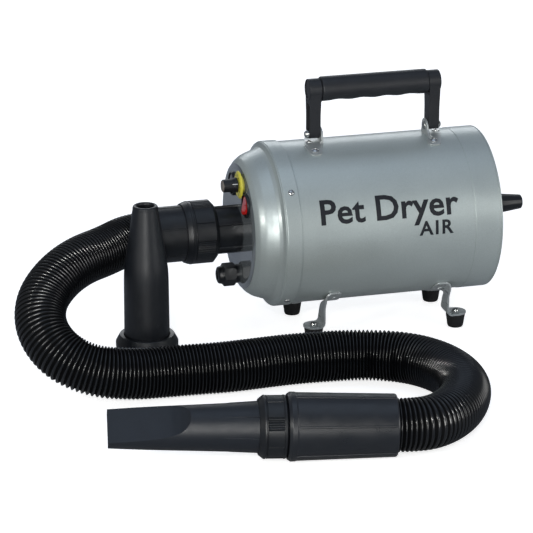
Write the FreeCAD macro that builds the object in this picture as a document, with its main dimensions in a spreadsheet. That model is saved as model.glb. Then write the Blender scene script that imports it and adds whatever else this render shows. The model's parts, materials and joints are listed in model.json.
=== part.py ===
"""Pet dryer: metal canister blower on four bent legs, with a folding carry handle, a control panel,
a corrugated stretch hose with a handpiece and flat nozzle, and a spare round nozzle.
Units are millimetres, +Z is up.  The origin lies on the floor under the middle of the barrel.
+X runs along the barrel from the panel end to the air intake end, -Y is the side the controls favour."""
import FreeCAD, Part
import math
import os
import Sketcher

V = FreeCAD.Vector
doc = FreeCAD.newDocument("pet_dryer")

# ---------------------------------------------------------------- driving dimensions
sheet = doc.addObject("Spreadsheet::Sheet", "Sizes")
SIZES = [
    ("axis_height", 114.8), ("barrel_rad", 82.5), ("sheet_thk", 1.2), ("barrel_front", -98.0), ("barrel_rear", 84.0),
    ("collar_front", -113.0), ("collar_rad", 84.0), ("panel_face", -142.2), ("dome_base_rad", 77.5), ("panel_rad", 58.0),
    ("rim_end", 113.0), ("rim_rad", 82.9),
    ("outlet_drop", 2.5), ("outlet_rad", 23.8), ("outlet_bore", 21.3), ("outlet_end", -180.0),
    ("nut_front", -200.5), ("nut_back", -167.4), ("nut_rad", 32.0), ("cuff_end", -230.0), ("cuff_rad", 28.5),
    ("hose_rad", 25.0), ("hose_bore", 22.0),
    ("rocker_bezel_rad", 12.2), ("rocker_body_rad", 10.7), ("rocker_bore", 10.0), ("rocker_button_rad", 9.2),
    ("red_offset", -37.6), ("red_up", 33.2), ("dark_offset", 14.3), ("dark_up", 40.9),
    ("dial_offset", -18.0), ("dial_up", 49.5), ("dial_rad", 14.0), ("knob_rad", 6.5), ("knob_base_rad", 7.5), ("knob_end", -163.0),
    ("gland_offset", 0.7), ("gland_drop", 51.0), ("gland_bore_rad", 4.25), ("gland_flats", 21.0), ("gland_end", -163.6),
    ("handle_half", 68.4), ("handle_inner", 57.2), ("handle_leg_half", 7.8), ("pivot_height", 205.8), ("grip_height", 252.2),
    ("grip_rad", 12.5), ("grip_half", 56.0), ("boss_rad", 11.0), ("bolt_rad", 2.5), ("ear_thk", 2.0), ("plate_thk", 1.2),
    ("leg_front", -64.5), ("leg_rear", 67.5), ("leg_thk", 2.0), ("leg_edge", 49.0), ("foot_side", 40.0), ("foot_front", -73.0), ("foot_rear", 79.0),
    ("foot_height", 14.3), ("foot_top_rad", 10.0), ("foot_low_rad", 8.0),
    ("stud_rad", 3.0), ("guard_top", 135.0), ("guard_rad", 78.6), ("fknob_end", 164.7), ("fknob_small", 7.25), ("fknob_large", 10.6),
    ("spare_side", -65.9), ("spare_pos", -252.7), ("spare_height", 167.0), ("spare_nut_rad", 31.0), ("spare_nut_height", 34.0),
    ("spare_skirt", 22.5), ("spare_mouth", 12.5), ("spare_bore", 8.3),
    ("sleeve_front_rad", 31.7), ("sleeve_rear_rad", 29.1), ("hand_nut_rad", 29.4), ("flat_base_rad", 23.4), ("flat_tip_rad", 18.2),
    ("flat_half", 5.2), ("sleeve_start", 163.6), ("sleeve_end", 264.4), ("hand_nut_start", 137.0),
    ("shaft_rad", 4.0), ("rotor_rad", 22.0), ("stator_rad", 42.0), ("fan_rad", 64.0), ("fan_case_rad", 70.0),
]
for i, (alias, value) in enumerate(SIZES, start=1):
    sheet.set("A%d" % i, alias)
    sheet.set("B%d" % i, repr(value))
    sheet.setAlias("B%d" % i, alias)
doc.recompute()
S = {alias: float(value) for alias, value in SIZES}
for alias, value in SIZES:
    assert abs(float(getattr(sheet, alias)) - value) < 1e-9, alias

NODES = []          # (label, object)


def node(obj, label):
    obj.Label = label
    NODES.append((label, obj))
    return obj


def at(x=0.0, y=0.0, z=0.0, rot=None):
    return FreeCAD.Placement(V(x, y, z), rot or FreeCAD.Rotation())


AX = S["axis_height"]
TO_X = FreeCAD.Rotation(V(0, 1, 0), 90)       # local +Z turned to +X
COUNT = [0]


def name(base):
    COUNT[0] += 1
    return "%s_%03d" % (base, COUNT[0])


def value_of(expr):
    """Number for a size given as a number or as an expression on the sheet."""
    if isinstance(expr, (int, float)):
        return float(expr)
    return float(eval_sum(expr))


def eval_sum(expr):
    """Adds up an expression of sheet aliases and numbers joined by + and -."""
    total, sign, token = 0.0, 1.0, ""
    for ch in expr.replace(" ", "") + "+":
        if ch in "+-" and token:
            total += sign * (S[token] if token in S else float(token))
            sign, token = (1.0 if ch == "+" else -1.0), ""
        elif ch in "+-":
            sign = sign * (1.0 if ch == "+" else -1.0)
        else:
            token += ch
    return total


def sheet_expr(expr):
    """The same expression written for FreeCAD, in millimetres."""
    out, token = "", ""
    for ch in expr.replace(" ", "") + "+":
        if ch in "+-":
            if token:
                out += ("Sizes." + token) if token in S else token
                token = ""
            out += ch
        else:
            token += ch
    return out[:-1]


def bind(obj, prop, expr):
    if isinstance(expr, str):
        obj.setExpression(prop, sheet_expr(expr))
    else:
        setattr(obj, prop, expr)


def plane_of(body, role):
    for f in body.Origin.OriginFeatures:
        if f.Role == role:
            return f


def polygon_sketch(body, pts, plane="XZ_Plane"):
    """Closed polygon whose corners are held by distances bound to the sheet."""
    sk = body.newObject("Sketcher::SketchObject", name("Sketch"))
    sk.AttachmentSupport = [(plane_of(body, plane), "")]
    sk.MapMode = "FlatFace"
    vals = [(value_of(a), value_of(b)) for a, b in pts]
    n = len(pts)
    for i in range(n):
        a, b = vals[i], vals[(i + 1) % n]
        sk.addGeometry(Part.LineSegment(V(a[0], a[1], 0), V(b[0], b[1], 0)), False)
    for i in range(n):
        sk.addConstraint(Sketcher.Constraint("Coincident", i, 2, (i + 1) % n, 1))
    for i in range(n):
        for kind, k, axis in (("DistanceX", 0, -2), ("DistanceY", 1, -1)):
            v = vals[i][k]
            if abs(v) < 1e-9:
                sk.addConstraint(Sketcher.Constraint("PointOnObject", i, 1, axis))
                continue
            c = sk.addConstraint(Sketcher.Constraint(kind, i, 1, v))
            if isinstance(pts[i][k], str):
                sk.setExpression("Constraints[%d]" % c, sheet_expr(pts[i][k]))
    return sk


def turned(pts, label=None, axis="H_Axis", placement=None):
    """A PartDesign body: a polygon in the XZ plane turned about the X axis (H) or Z axis (V)."""
    body = doc.addObject("PartDesign::Body", name("Body"))
    sk = polygon_sketch(body, pts)
    rev = body.newObject("PartDesign::Revolution", name("Revolution"))
    rev.Profile = sk
    rev.ReferenceAxis = (sk, [axis])
    rev.Angle = 360.0
    body.Tip = rev
    if placement is not None:
        body.Placement = placement
    if label:
        node(body, label)
    return body


def padded(pts, length, plane="XZ_Plane", midplane=True, label=None, placement=None):
    body = doc.addObject("PartDesign::Body", name("Body"))
    sk = polygon_sketch(body, pts, plane)
    pad = body.newObject("PartDesign::Pad", name("Pad"))
    pad.Profile = sk
    bind(pad, "Length", length)
    pad.Midplane = midplane
    body.Tip = pad
    if placement is not None:
        body.Placement = placement
    if label:
        node(body, label)
    return body


def cyl(rad, height, placement, angle=360.0):
    c = doc.addObject("Part::Cylinder", name("Cylinder"))
    bind(c, "Radius", rad)
    bind(c, "Height", height)
    c.Angle = angle
    c.Placement = placement
    return c


def cylx(rad, x0, x1, y=0.0, z=0.0, angle=360.0):
    """Cylinder along +X from x0 to x1."""
    lo = value_of(x0)
    length = value_of(x1) - lo
    return cyl(rad, length, at(lo, y, z, TO_X), angle)


def cone(r1, r2, height, placement):
    c = doc.addObject("Part::Cone", name("Cone"))
    bind(c, "Radius1", r1)
    bind(c, "Radius2", r2)
    bind(c, "Height", height)
    c.Placement = placement
    return c


def box(dx, dy, dz, placement):
    b = doc.addObject("Part::Box", name("Box"))
    b.Length, b.Width, b.Height = dx, dy, dz
    b.Placement = placement
    return b


def boxc(x0, x1, y0, y1, z0, z1):
    return box(x1 - x0, y1 - y0, z1 - z0, at(x0, y0, z0))


def cut(base, tool, label=None):
    c = doc.addObject("Part::Cut", name("Cut"))
    c.Base, c.Tool = base, tool
    if label:
        node(c, label)
    return c


def fuse(objs, label=None):
    f = doc.addObject("Part::MultiFuse", name("Fusion"))
    f.Shapes = objs
    if label:
        node(f, label)
    return f


def common(a, b, label=None):
    c = doc.addObject("Part::MultiCommon", name("Common"))
    c.Shapes = [a, b]
    if label:
        node(c, label)
    return c


def together(objs, label):
    """Several equal pieces as separate solids of one node."""
    c = doc.addObject("Part::Compound", name("Compound"))
    c.Links = objs
    return node(c, label)


def mirrored(src, base, normal):
    m = doc.addObject("Part::Mirroring", name("Mirror"))
    m.Source, m.Base, m.Normal = src, base, normal
    return m


ONAX = at(0, 0, AX)
# ================================================================ barrel and its ends
turned([("barrel_front-9", "barrel_rad-sheet_thk"), ("barrel_rear", "barrel_rad-sheet_thk"),
        ("barrel_rear", "barrel_rad"), ("barrel_front-9", "barrel_rad")], "barrel_shell", placement=ONAX)

# rolled band over the front seam
turned([("collar_front", 81.9), ("barrel_front-9.1", 81.9), ("barrel_front-9.1", "barrel_rad+0.05"),
        ("barrel_front", "barrel_rad+0.05"), ("barrel_front", "collar_rad"), ("collar_front+0.6", "collar_rad"),
        ("collar_front", "collar_rad-0.8")], "front_collar", placement=ONAX)

# deep-drawn front dome with its flat panel, 1.5 mm sheet
dome = turned([("barrel_front-6", 81.2), ("collar_front", 81.2), ("collar_front", "dome_base_rad"), (-124.0, 74.8),
               (-131.0, 72.2), (-136.5, 68.4), (-140.4, 63.6), ("panel_face", "panel_rad"), ("panel_face", 0.0),
               ("panel_face+1.5", 0.0), ("panel_face+1.5", 57.2), (-139.2, 62.4), (-135.6, 66.9), (-130.3, 70.7),
               (-123.6, 73.2), ("collar_front+1.5", 75.8), ("collar_front+1.5", 79.9), ("barrel_front-6", 79.9)],
              placement=ONAX)
holes = fuse([cylx("outlet_bore+0.0", -146.0, -136.0, 0.0, AX - S["outlet_drop"]),
              cylx("rocker_body_rad+0.15", -146.0, -136.0, S["red_offset"], AX + S["red_up"]),
              cylx("rocker_body_rad+0.15", -146.0, -136.0, S["dark_offset"], AX + S["dark_up"]),
              cylx(4.1, -146.0, -136.0, S["dial_offset"], AX + S["dial_up"]),
              cylx(8.1, -146.0, -136.0, S["gland_offset"], AX - S["gland_drop"])])
cut(dome, holes, "front_dome")

# rivets round the front collar
rivs = []
for k in range(4):
    a = math.radians(51.5 + 90.0 * k)
    d = V(0, math.cos(a), math.sin(a))
    rivs.append(cyl(3.0, 1.9, FreeCAD.Placement(V(-104.5, 0, AX) + d * 83.6, FreeCAD.Rotation(V(0, 0, 1), d))))
together(rivs, "collar_rivets")

# rear band with its rolled rim
turned([("barrel_rear", "barrel_rad-sheet_thk"), ("rim_end-2.0", "barrel_rad-sheet_thk"), ("rim_end-2.0", 79.6),
        ("rim_end", 79.6), ("rim_end", "rim_rad-1.4"), ("rim_end-1.2", "rim_rad"), ("barrel_rear", "rim_rad")],
       "rear_band", placement=ONAX)

# cross piece and stud that carry the intake guard
arms = [boxc(98.0, 100.5, -81.2, 81.2, AX - 5, AX + 5), boxc(98.0, 100.5, -5, 5, AX - 81.2, AX + 81.2),
        cylx(10.0, 98.0, 102.0, 0, AX)]
cut(common(fuse(arms), cylx("barrel_rad-sheet_thk", 90.0, 110.0, 0, AX)), cylx("stud_rad", 90.0, 110.0, 0, AX), "intake_spider")
together([cylx("stud_rad", 94.0, 158.0, 0, AX)], "intake_stud")

# intake guard: pierced dome, foam filter and the conical knob that holds them
guard_body = turned([(113.5, "guard_rad"), (115.0, "guard_rad"), (121.0, 73.0), (127.5, 58.0), (132.0, 38.0), ("guard_top", 12.0),
                     ("guard_top", 3.5), ("guard_top-1.5", 3.5), ("guard_top-1.5", 12.0), (130.6, 37.6), (126.2, 57.2),
                     (119.9, 71.9), (114.2, 76.6), (113.5, 76.6)])
sk = polygon_sketch(guard_body, [(-2.2, 18.0), (2.2, 18.0), (2.2, 68.0), (-2.2, 68.0)], "YZ_Plane")
pocket = guard_body.newObject("PartDesign::Pocket", "GuardSlot")
pocket.Profile = sk
pocket.Type = "ThroughAll"
pocket.Midplane = True
pat = guard_body.newObject("PartDesign::PolarPattern", "GuardSlots")
pat.Originals = [pocket]
pat.Axis = (plane_of(guard_body, "X_Axis"), [""])
pat.Angle = 360.0
pat.Occurrences = 20
guard_body.Tip = pat
guard_body.Placement = ONAX
node(guard_body, "intake_guard")
turned([(104.0, 3.5), (112.8, 3.5), (112.8, 78.8), (104.0, 78.8)], "intake_filter", placement=ONAX)
turned([(135.4, "stud_rad+0.05"), (159.0, "stud_rad+0.05"), (159.0, 0.0), ("fknob_end", 0.0), ("fknob_end", "fknob_small-1.0"),
        ("fknob_end-1.0", "fknob_small"), (137.0, "fknob_large"), (135.4, "fknob_large-0.8")], "filter_knob", placement=ONAX)

# ================================================================ motor and air path
turned([(46.0, 46.0), (48.5, 46.0), (48.5, 81.2), (46.0, 81.2)], "motor_mount_plate", placement=ONAX)
turned([(43.0, 46.0), (46.0, 46.0), (46.0, 69.0), (43.0, 69.0)], "rubber_mount_ring", placement=ONAX)
case = turned([(8.0, 9.02), (10.0, 9.02), (10.0, "fan_case_rad-1.5"), (41.5, "fan_case_rad-1.5"), (41.5, 20.0), (43.0, 20.0),
               (43.0, "fan_case_rad"), (8.0, "fan_case_rad")], placement=ONAX)
ports = [cylx(7.0, 6.0, 12.0, 53 * math.cos(math.radians(45 * k)), AX + 53 * math.sin(math.radians(45 * k))) for k in range(8)]
cut(case, fuse(ports), "fan_housing")

fan = turned([(12.5, "shaft_rad"), (36.0, "shaft_rad"), (36.0, 9.0), (16.0, 11.0), (16.0, "fan_rad"), (14.5, "fan_rad"),
              (14.5, 9.0), (12.5, 9.0)])
vane_sk = polygon_sketch(fan, [(-0.8, 10.0), (0.8, 10.0), (0.8, 62.0), (-0.8, 62.0)], "YZ_Plane")
vane = fan.newObject("PartDesign::Pad", "Vane")
vane.Profile = vane_sk
vane.Length = 32.0
vane.Midplane = False
vpat = fan.newObject("PartDesign::PolarPattern", "Vanes")
vpat.Originals = [vane]
vpat.Axis = (plane_of(fan, "X_Axis"), [""])
vpat.Angle = 360.0
vpat.Occurrences = 9
fan.Tip = vpat
fan.Placement = ONAX
common(fan, cylx("fan_rad", 12.5, 40.0, 0, AX), "impeller")
together([cylx("shaft_rad", -58.0, 38.0, 0, AX)], "motor_shaft")
turned([(-25.0, "shaft_rad"), (3.0, "shaft_rad"), (3.0, "rotor_rad"), (-25.0, "rotor_rad")], "armature", placement=ONAX)
turned([(-42.0, "shaft_rad"), (-28.0, "shaft_rad"), (-28.0, 12.0), (-42.0, 12.0)], "commutator", placement=ONAX)
ring = cut(cylx("stator_rad", -25.0, 8.0, 0, AX), cylx(34.0, -26.0, 9.0, 0, AX))
poles = common(cut(cylx(36.0, -25.0, 3.0, 0, AX), cylx("rotor_rad+0.6", -26.0, 9.0, 0, AX)),
               boxc(-25.0, 3.0, -14.0, 14.0, AX - 60, AX + 60))
fuse([ring, poles], "stator_core")
wind = [common(cut(cylx(33.6, -28.5, 5.0, 0, AX), cylx(24.0, -34.0, 6.0, 0, AX)), boxc(-28.5, 5.0, 15.0, 60.0, AX - 24, AX + 24))]
wind.append(mirrored(wind[0], V(0, 0, 0), V(0, 1, 0)))
together(wind, "field_windings")
end = cut(cylx("stator_rad", -52.0, -47.0, 0, AX), fuse([cylx(9.02, -53.0, -46.0, 0, AX)] + [
    cylx(9.0, -53.0, -46.0, 25 * math.cos(math.radians(90 * k)), AX + 25 * math.sin(math.radians(90 * k))) for k in range(4)]))
posts = [cylx(2.5, -47.5, -25.0, 38 * math.cos(math.radians(45 + 90 * k)), AX + 38 * math.sin(math.radians(45 + 90 * k))) for k in range(4)]
fuse([end] + posts, "end_bracket")
bear = [turned([(-52.0, "shaft_rad+0.03"), (-46.0, "shaft_rad+0.03"), (-46.0, 9.0), (-52.0, 9.0)], placement=ONAX),
        turned([(5.0, "shaft_rad+0.03"), (11.0, "shaft_rad+0.03"), (11.0, 9.0), (5.0, 9.0)], placement=ONAX)]
together(bear, "bearings")
hold = cut(boxc(-40.0, -30.0, 14.0, 37.0, AX - 5, AX + 5), boxc(-38.0, -32.0, 13.0, 35.0, AX - 3, AX + 3))
together([hold, mirrored(hold, V(0, 0, 0), V(0, 1, 0))], "brush_holders")
carb = boxc(-37.9, -32.1, 12.2, 30.0, AX - 2.9, AX + 2.9)
together([carb, mirrored(carb, V(0, 0, 0), V(0, 1, 0))], "carbon_brushes")
turned([(-92.0, 73.0), (-2.0, 73.0), (-2.0, 81.0), (-92.0, 81.0)], "acoustic_foam", placement=ONAX)
fuse([boxc(-122.0, -70.0, -28.0, 28.0, AX + 56.0, AX + 57.6), boxc(-112.0, -96.0, -20.0, -4.0, AX + 44.0, AX + 56.0),
      boxc(-90.0, -78.0, 2.0, 20.0, AX + 47.0, AX + 56.0)], "speed_board")

# ================================================================ front panel
OUTAX = at(0, 0, AX - S["outlet_drop"])
# the spigot is one turned tube with six raised ribs between the panel and the nut
spig_front = turned([("outlet_end", "outlet_bore"), ("panel_face", "outlet_bore"), ("panel_face", "outlet_rad"),
                     ("outlet_end", "outlet_rad")], placement=OUTAX)
ribs = []
for a in (30, 90, 150, 210, 270, 330):
    rot = FreeCAD.Rotation(V(1, 0, 0), a + 12)
    b = box(24.4, 2.4, 2.0, FreeCAD.Placement(V(-167.0, 0, AX - S["outlet_drop"]) + rot.multVec(V(0, -1.2, 22.8)), rot))
    ribs.append(b)
fuse([spig_front] + ribs, "outlet_spigot")
turned([("nut_front", "cuff_rad+0.35"), ("nut_front+3", "cuff_rad+0.35"), ("nut_front+3", 30.2), ("nut_back-4", 30.2),
        ("nut_back-4", 25.6), ("nut_back", 25.6), ("nut_back", "nut_rad-4.6"), ("nut_back-4", "nut_rad"),
        ("nut_front+4.5", "nut_rad"), ("nut_front", "nut_rad-2.2")], "outlet_nut", placement=OUTAX)
turned([("cuff_end", "hose_bore"), ("outlet_end-0.2", "hose_bore"), ("outlet_end-0.2", "cuff_rad"), ("cuff_end+2", "cuff_rad"),
        ("cuff_end", "cuff_rad-1.5")], "hose_cuff", placement=OUTAX)

PIVX = -140.6


def rocker(tag, dy, dz):
    ry, rz = S[dy], AX + S[dz]
    turned([("panel_face+20", 0.0), ("panel_face+20", "rocker_body_rad"), ("panel_face", "rocker_body_rad"),
            ("panel_face", "rocker_bezel_rad"), ("panel_face-1.4", "rocker_bezel_rad"), ("panel_face-2.2", "rocker_bezel_rad-1.0"),
            ("panel_face-2.2", "rocker_bore"), ("panel_face+9", "rocker_bore"), ("panel_face+9", 0.0)],
           "rocker_%s_housing" % tag, placement=at(0, ry, rz))
    wedge = padded([(3.4, -8.2), (-1.0, -9.4), (-4.4, -9.4), (-2.9, 0.0), (-4.4, 9.4), (-1.0, 9.4), (3.4, 8.2), (4.4, 0.0)], 18.0)
    pin = cyl(1.6, 19.4, FreeCAD.Placement(V(0, -9.7, 0), FreeCAD.Rotation(V(1, 0, 0), -90)))
    button = fuse([common(wedge, cylx("rocker_button_rad", -9.0, 9.0)), pin])
    button.Placement = FreeCAD.Placement(V(PIVX, ry, rz), FreeCAD.Rotation(V(0, 1, 0), 10.0))
    node(button, "rocker_%s_button" % tag)


rocker("red", "red_offset", "red_up")
rocker("dark", "dark_offset", "dark_up")

DIALAX = at(0, S["dial_offset"], AX + S["dial_up"])
turned([("panel_face", 4.1), ("panel_face-6.0", 4.1), ("panel_face-6.0", "dial_rad-1.6"), ("panel_face-4.6", "dial_rad"),
        ("panel_face-2.7", "dial_rad"), ("panel_face-2.5", 9.0), ("panel_face", 9.0)], "dial_plate", placement=DIALAX)
turned([("panel_face+3.2", 4.0), ("panel_face-5.8", 4.0), ("panel_face-5.8", 3.05), ("panel_face+6", 3.05), ("panel_face+6", 0.0),
        ("panel_face+13", 0.0), ("panel_face+13", 8.0), ("panel_face+3.2", 8.0)], "potentiometer", placement=DIALAX)
turned([("panel_face+5.7", 0.0), (-160.0, 0.0), (-160.0, 3.0), ("panel_face+5.7", 3.0)], "knob_shaft", placement=DIALAX)
turned([("panel_face-6.4", 3.0), (-160.0, 3.0), (-160.0, 0.0), ("knob_end+1.2", 0.0), ("knob_end+1.2", "knob_rad-0.6"),
        ("knob_end+1.8", "knob_rad"), ("panel_face-9", "knob_rad"), ("panel_face-8.6", "knob_base_rad"),
        ("panel_face-6.4", "knob_base_rad")], "speed_knob", placement=DIALAX)
turned([("knob_end", 0.0), ("knob_end+1.2", 0.0), ("knob_end+1.2", 5.75), ("knob_end+0.4", 5.75), ("knob_end", 5.3)],
       "speed_knob_cap", placement=DIALAX)

GLAX = at(0, S["gland_offset"], AX - S["gland_drop"])
turned([("panel_face+8", 6.0), (-150.0, 6.0), (-150.0, 8.0), ("panel_face-3.5", 8.0), ("panel_face-3.5", 9.5), ("panel_face", 9.5),
        ("panel_face", 8.0), ("panel_face+8", 8.0)], "gland_body", placement=GLAX)
hexa = doc.addObject("Part::Prism", name("Prism"))
hexa.Polygon = 6
bind(hexa, "Circumradius", S["gland_flats"] / math.sqrt(3))
bind(hexa, "Height", 12.7)
hexa.Placement = at(-158.4, S["gland_offset"], AX - S["gland_drop"], TO_X)
dome_end = cone(6.6, 8.6, 5.2, at(-163.6, S["gland_offset"], AX - S["gland_drop"], TO_X))
bore = fuse([cylx(8.05, -150.05, -144.0, S["gland_offset"], AX - S["gland_drop"]),
             cylx(6.3, -160.0, -149.0, S["gland_offset"], AX - S["gland_drop"]),
             cylx(5.4, -165.0, -158.0, S["gland_offset"], AX - S["gland_drop"])])
cut(fuse([hexa, dome_end]), bore, "gland_nut")
turned([(-159.9, "gland_bore_rad"), (-150.1, "gland_bore_rad"), (-150.1, 6.2), (-159.9, 6.2)], "gland_seal", placement=GLAX)
lock = doc.addObject("Part::Prism", name("Prism"))
lock.Polygon = 6
lock.Circumradius = 10.4
lock.Height = 4.0
lock.Placement = at(-139.3, S["gland_offset"], AX - S["gland_drop"], TO_X)
cut(lock, cylx(8.05, -142.0, -135.0, S["gland_offset"], AX - S["gland_drop"]), "gland_locknut")

# ================================================================ carry handle
ZP, ZG = S["pivot_height"], S["grip_height"]
leg = padded([("0-handle_leg_half", 258.0), ("0-handle_leg_half", "pivot_height+2.5"), (-4.5, "pivot_height-3.5"), (4.5, "pivot_height-3.5"),
              ("handle_leg_half", "pivot_height+2.5"), ("handle_leg_half", 258.0)], 11.2, "YZ_Plane", midplane=False)
leg.Placement = at(S["handle_inner"], 0, 0)
channel = boxc(60.2, 70.0, -5.6, 5.6, ZP - 9.5, ZG - 12.0)
hole = cylx("bolt_rad+0.05", 50.0, 70.0, 0, ZP)
boss = cylx("boss_rad", "handle_inner", "handle_half+2", 0, ZG)
side = cut(cut(fuse([leg, boss]), fuse([channel, hole])), cylx(6.0, 63.0, 75.0, 0, ZG))
side2 = mirrored(side, V(0, 0, 0), V(1, 0, 0))
core = cylx(8.0, -62.0, 62.0, 0, ZG)
fuse([side, side2, core], "handle_frame")
turned([("0-grip_half", 8.02), ("grip_half", 8.02), ("grip_half", "grip_rad-0.8"), ("grip_half-0.8", "grip_rad"),
        ("0.8-grip_half", "grip_rad"), ("0-grip_half", "grip_rad-0.8")], "handle_sleeve", placement=at(0, 0, ZG))

PT = S["barrel_rad"] + S["plate_thk"]
shell = cut(cylx("barrel_rad+plate_thk", 45.0, 80.0, 0, AX), cylx("barrel_rad+0.02", 44.0, 81.0, 0, AX))
# outline of the rear bracket seen from above, a plate whose two tongues are offset to opposite sides
outline = padded([(54.9, 17.0), (59.5, 24.0), (59.5, 31.5), (62.0, 33.5), (72.0, 33.5), (74.5, 31.5), (76.0, 14.0), (76.0, -14.0),
                  (66.5, -24.0), (66.5, -31.5), (64.0, -33.5), (54.0, -33.5), (51.5, -31.5), (51.5, -20.0), (54.9, -17.0)],
                 20.0, "XY_Plane", midplane=False)
outline.Placement = at(0, 0, 188.0)
plate = common(shell, outline)
ear = padded([(-17.0, 190.0), (-17.0, 197.5), (-9.0, "pivot_height+2"), (-6.6, "pivot_height+6.6"), (0.0, "pivot_height+9"),
              (6.6, "pivot_height+6.6"), (9.0, "pivot_height+2"), (17.0, 197.5), (17.0, 190.0)], "ear_thk", "YZ_Plane", midplane=False)
ear.Placement = at(54.9, 0, 0)
brk = cut(fuse([cut(ear, cylx("barrel_rad+0.02", 50.0, 60.0, 0, AX)), plate]), cylx("bolt_rad+0.02", 50.0, 60.0, 0, ZP))
brk2 = mirrored(mirrored(brk, V(0, 0, 0), V(1, 0, 0)), V(0, 0, 0), V(0, 1, 0))
together([brk, brk2], "handle_brackets")
bolt = fuse([cylx("bolt_rad", 51.6, 61.0, 0, ZP), cylx(4.6, 60.5, 63.8, 0, ZP), cylx(4.4, 51.4, 54.8, 0, ZP)])
together([bolt, mirrored(bolt, V(0, 0, 0), V(1, 0, 0))], "handle_bolts")
rivs = []
for sx in (-1, 1):
    for off, phi in ((67.6, 90 + sx * 16.3), (59.0, 90 - sx * 16.3), (67.8, 90 + sx * 1.5)):
        a = math.radians(phi)
        d = V(0, -math.cos(a), math.sin(a))
        rivs.append(cyl(3.9, 3.4, FreeCAD.Placement(V(sx * off, 0, AX) + d * 82.2, FreeCAD.Rotation(V(0, 0, 1), d))))
together(rivs, "bracket_rivets")

# ================================================================ legs


def leg_bracket(xf, foot_x, side):
    """One bent strip: a tab that follows the barrel, an upright and a sole.  It is built on -X, -Y and mirrored into place."""
    flange = padded([(-51.0, 14.3), (-29.0, 14.3), (-29.0, 24.0), (-26.5, 38.0), (-26.5, 62.0), (-57.0, 62.0), (-54.0, 46.0), (-51.0, 34.0)],
                    "leg_thk", "YZ_Plane", midplane=True)
    flange.Placement = at(xf, 0, 0)
    ring = cut(cylx("barrel_rad+leg_thk", xf - 1.0, xf + 16.0, 0, AX, angle=25.0), cylx("barrel_rad+0.02", xf - 5, xf + 40, 0, AX))
    ring.Placement = FreeCAD.Placement(V(0, 0, 0), FreeCAD.Rotation(V(1, 0, 0), -18.5 - 25.0), V(0, 0, AX))
    tip_r = 10.6
    sole = fuse([boxc(foot_x, xf + 1.0, -51.0, -29.4, 14.3, 16.3), cyl(tip_r, 2.0, at(foot_x, -S["foot_side"] - 0.2, 14.3))])
    piece = cut(fuse([cut(flange, cylx("barrel_rad+0.02", xf - 5, xf + 5, 0, AX)), ring, sole]),
                cyl(2.5, 6.0, at(foot_x, -S["foot_side"], 12.0)))
    other = mirrored(piece, V(0, 0, 0), V(0, 1, 0))
    if side > 0:
        return [mirrored(piece, V(0, 0, 0), V(1, 0, 0)), mirrored(other, V(0, 0, 0), V(1, 0, 0))]
    return [piece, other]


FOOT_X = {-1: S["foot_front"], 1: S["foot_rear"]}
LEG_X = {-1: S["leg_front"], 1: S["leg_rear"]}
together(leg_bracket(LEG_X[-1], FOOT_X[-1], -1) + leg_bracket(-LEG_X[1], -FOOT_X[1], 1), "leg_brackets")
lr, feet, screws = [], [], []
for sx in (-1, 1):
    for sy in (-1, 1):
        fx = FOOT_X[sx]
        a = math.radians(270 + sy * 31.0)
        d = V(0, math.cos(a), math.sin(a))
        rx = LEG_X[sx] - sx * 9.5
        lr.append(cyl(3.3, 3.4, FreeCAD.Placement(V(rx, 0, AX) + d * 82.0, FreeCAD.Rotation(V(0, 0, 1), d))))
        feet.append(cut(cone("foot_low_rad", "foot_top_rad", "foot_height", at(fx, sy * S["foot_side"], 0)),
                        cyl(2.52, 12.4, at(fx, sy * S["foot_side"], 3.0))))
        screws.append(fuse([cyl(2.5, 13.6, at(fx, sy * S["foot_side"], 3.2)), cyl(4.0, 2.4, at(fx, sy * S["foot_side"], 16.3))]))
together(lr, "leg_rivets")
together(feet, "rubber_feet")
together(screws, "foot_screws")

# ================================================================ handpiece, lying on the floor
tip = V(-345.3, -302.06, 35.9)
ex = V(0.9847, -0.1745, -0.0253)
ex.normalize()
ez = (V(0, 0, 1) - ex * V(0, 0, 1).dot(ex))
ez.normalize()
ey = ez.cross(ex)
HROT = FreeCAD.Rotation(ex, ey, ez, "XYZ")
HP = FreeCAD.Placement(tip, HROT)
ROLL = -52.0
NR = FreeCAD.Placement(tip, HROT.multiply(FreeCAD.Rotation(V(1, 0, 0), ROLL)))


def nozzle_solid(r_tip, r_base, half, s0, s1, facet):
    """Tapered tube with two flats that close to a slot at the tip.  Local X runs from the tip, the flats face local Y."""
    body = turned([(s0, 0.0), (s1, 0.0), (s1, r_base), (s0, r_tip)])
    ang = math.degrees(math.atan2((r_base - half) * 0.86, facet))
    out = body
    for sgn in (1, -1):
        b = box(facet + 60.0, 40.0, 80.0, FreeCAD.Placement())
        rot = FreeCAD.Rotation(V(0, 0, 1), sgn * ang)
        origin = V(s0 - 20.0, 0, -40.0)
        if sgn > 0:
            start = V(s0, half, 0)
            p = FreeCAD.Placement(start, rot)
            b.Placement = p.multiply(FreeCAD.Placement(V(-30.0, 0.0, -40.0), FreeCAD.Rotation()))
        else:
            start = V(s0, -half, 0)
            p = FreeCAD.Placement(start, rot)
            b.Placement = p.multiply(FreeCAD.Placement(V(-30.0, -40.0, -40.0), FreeCAD.Rotation()))
        out = cut(out, b)
    return out


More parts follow.
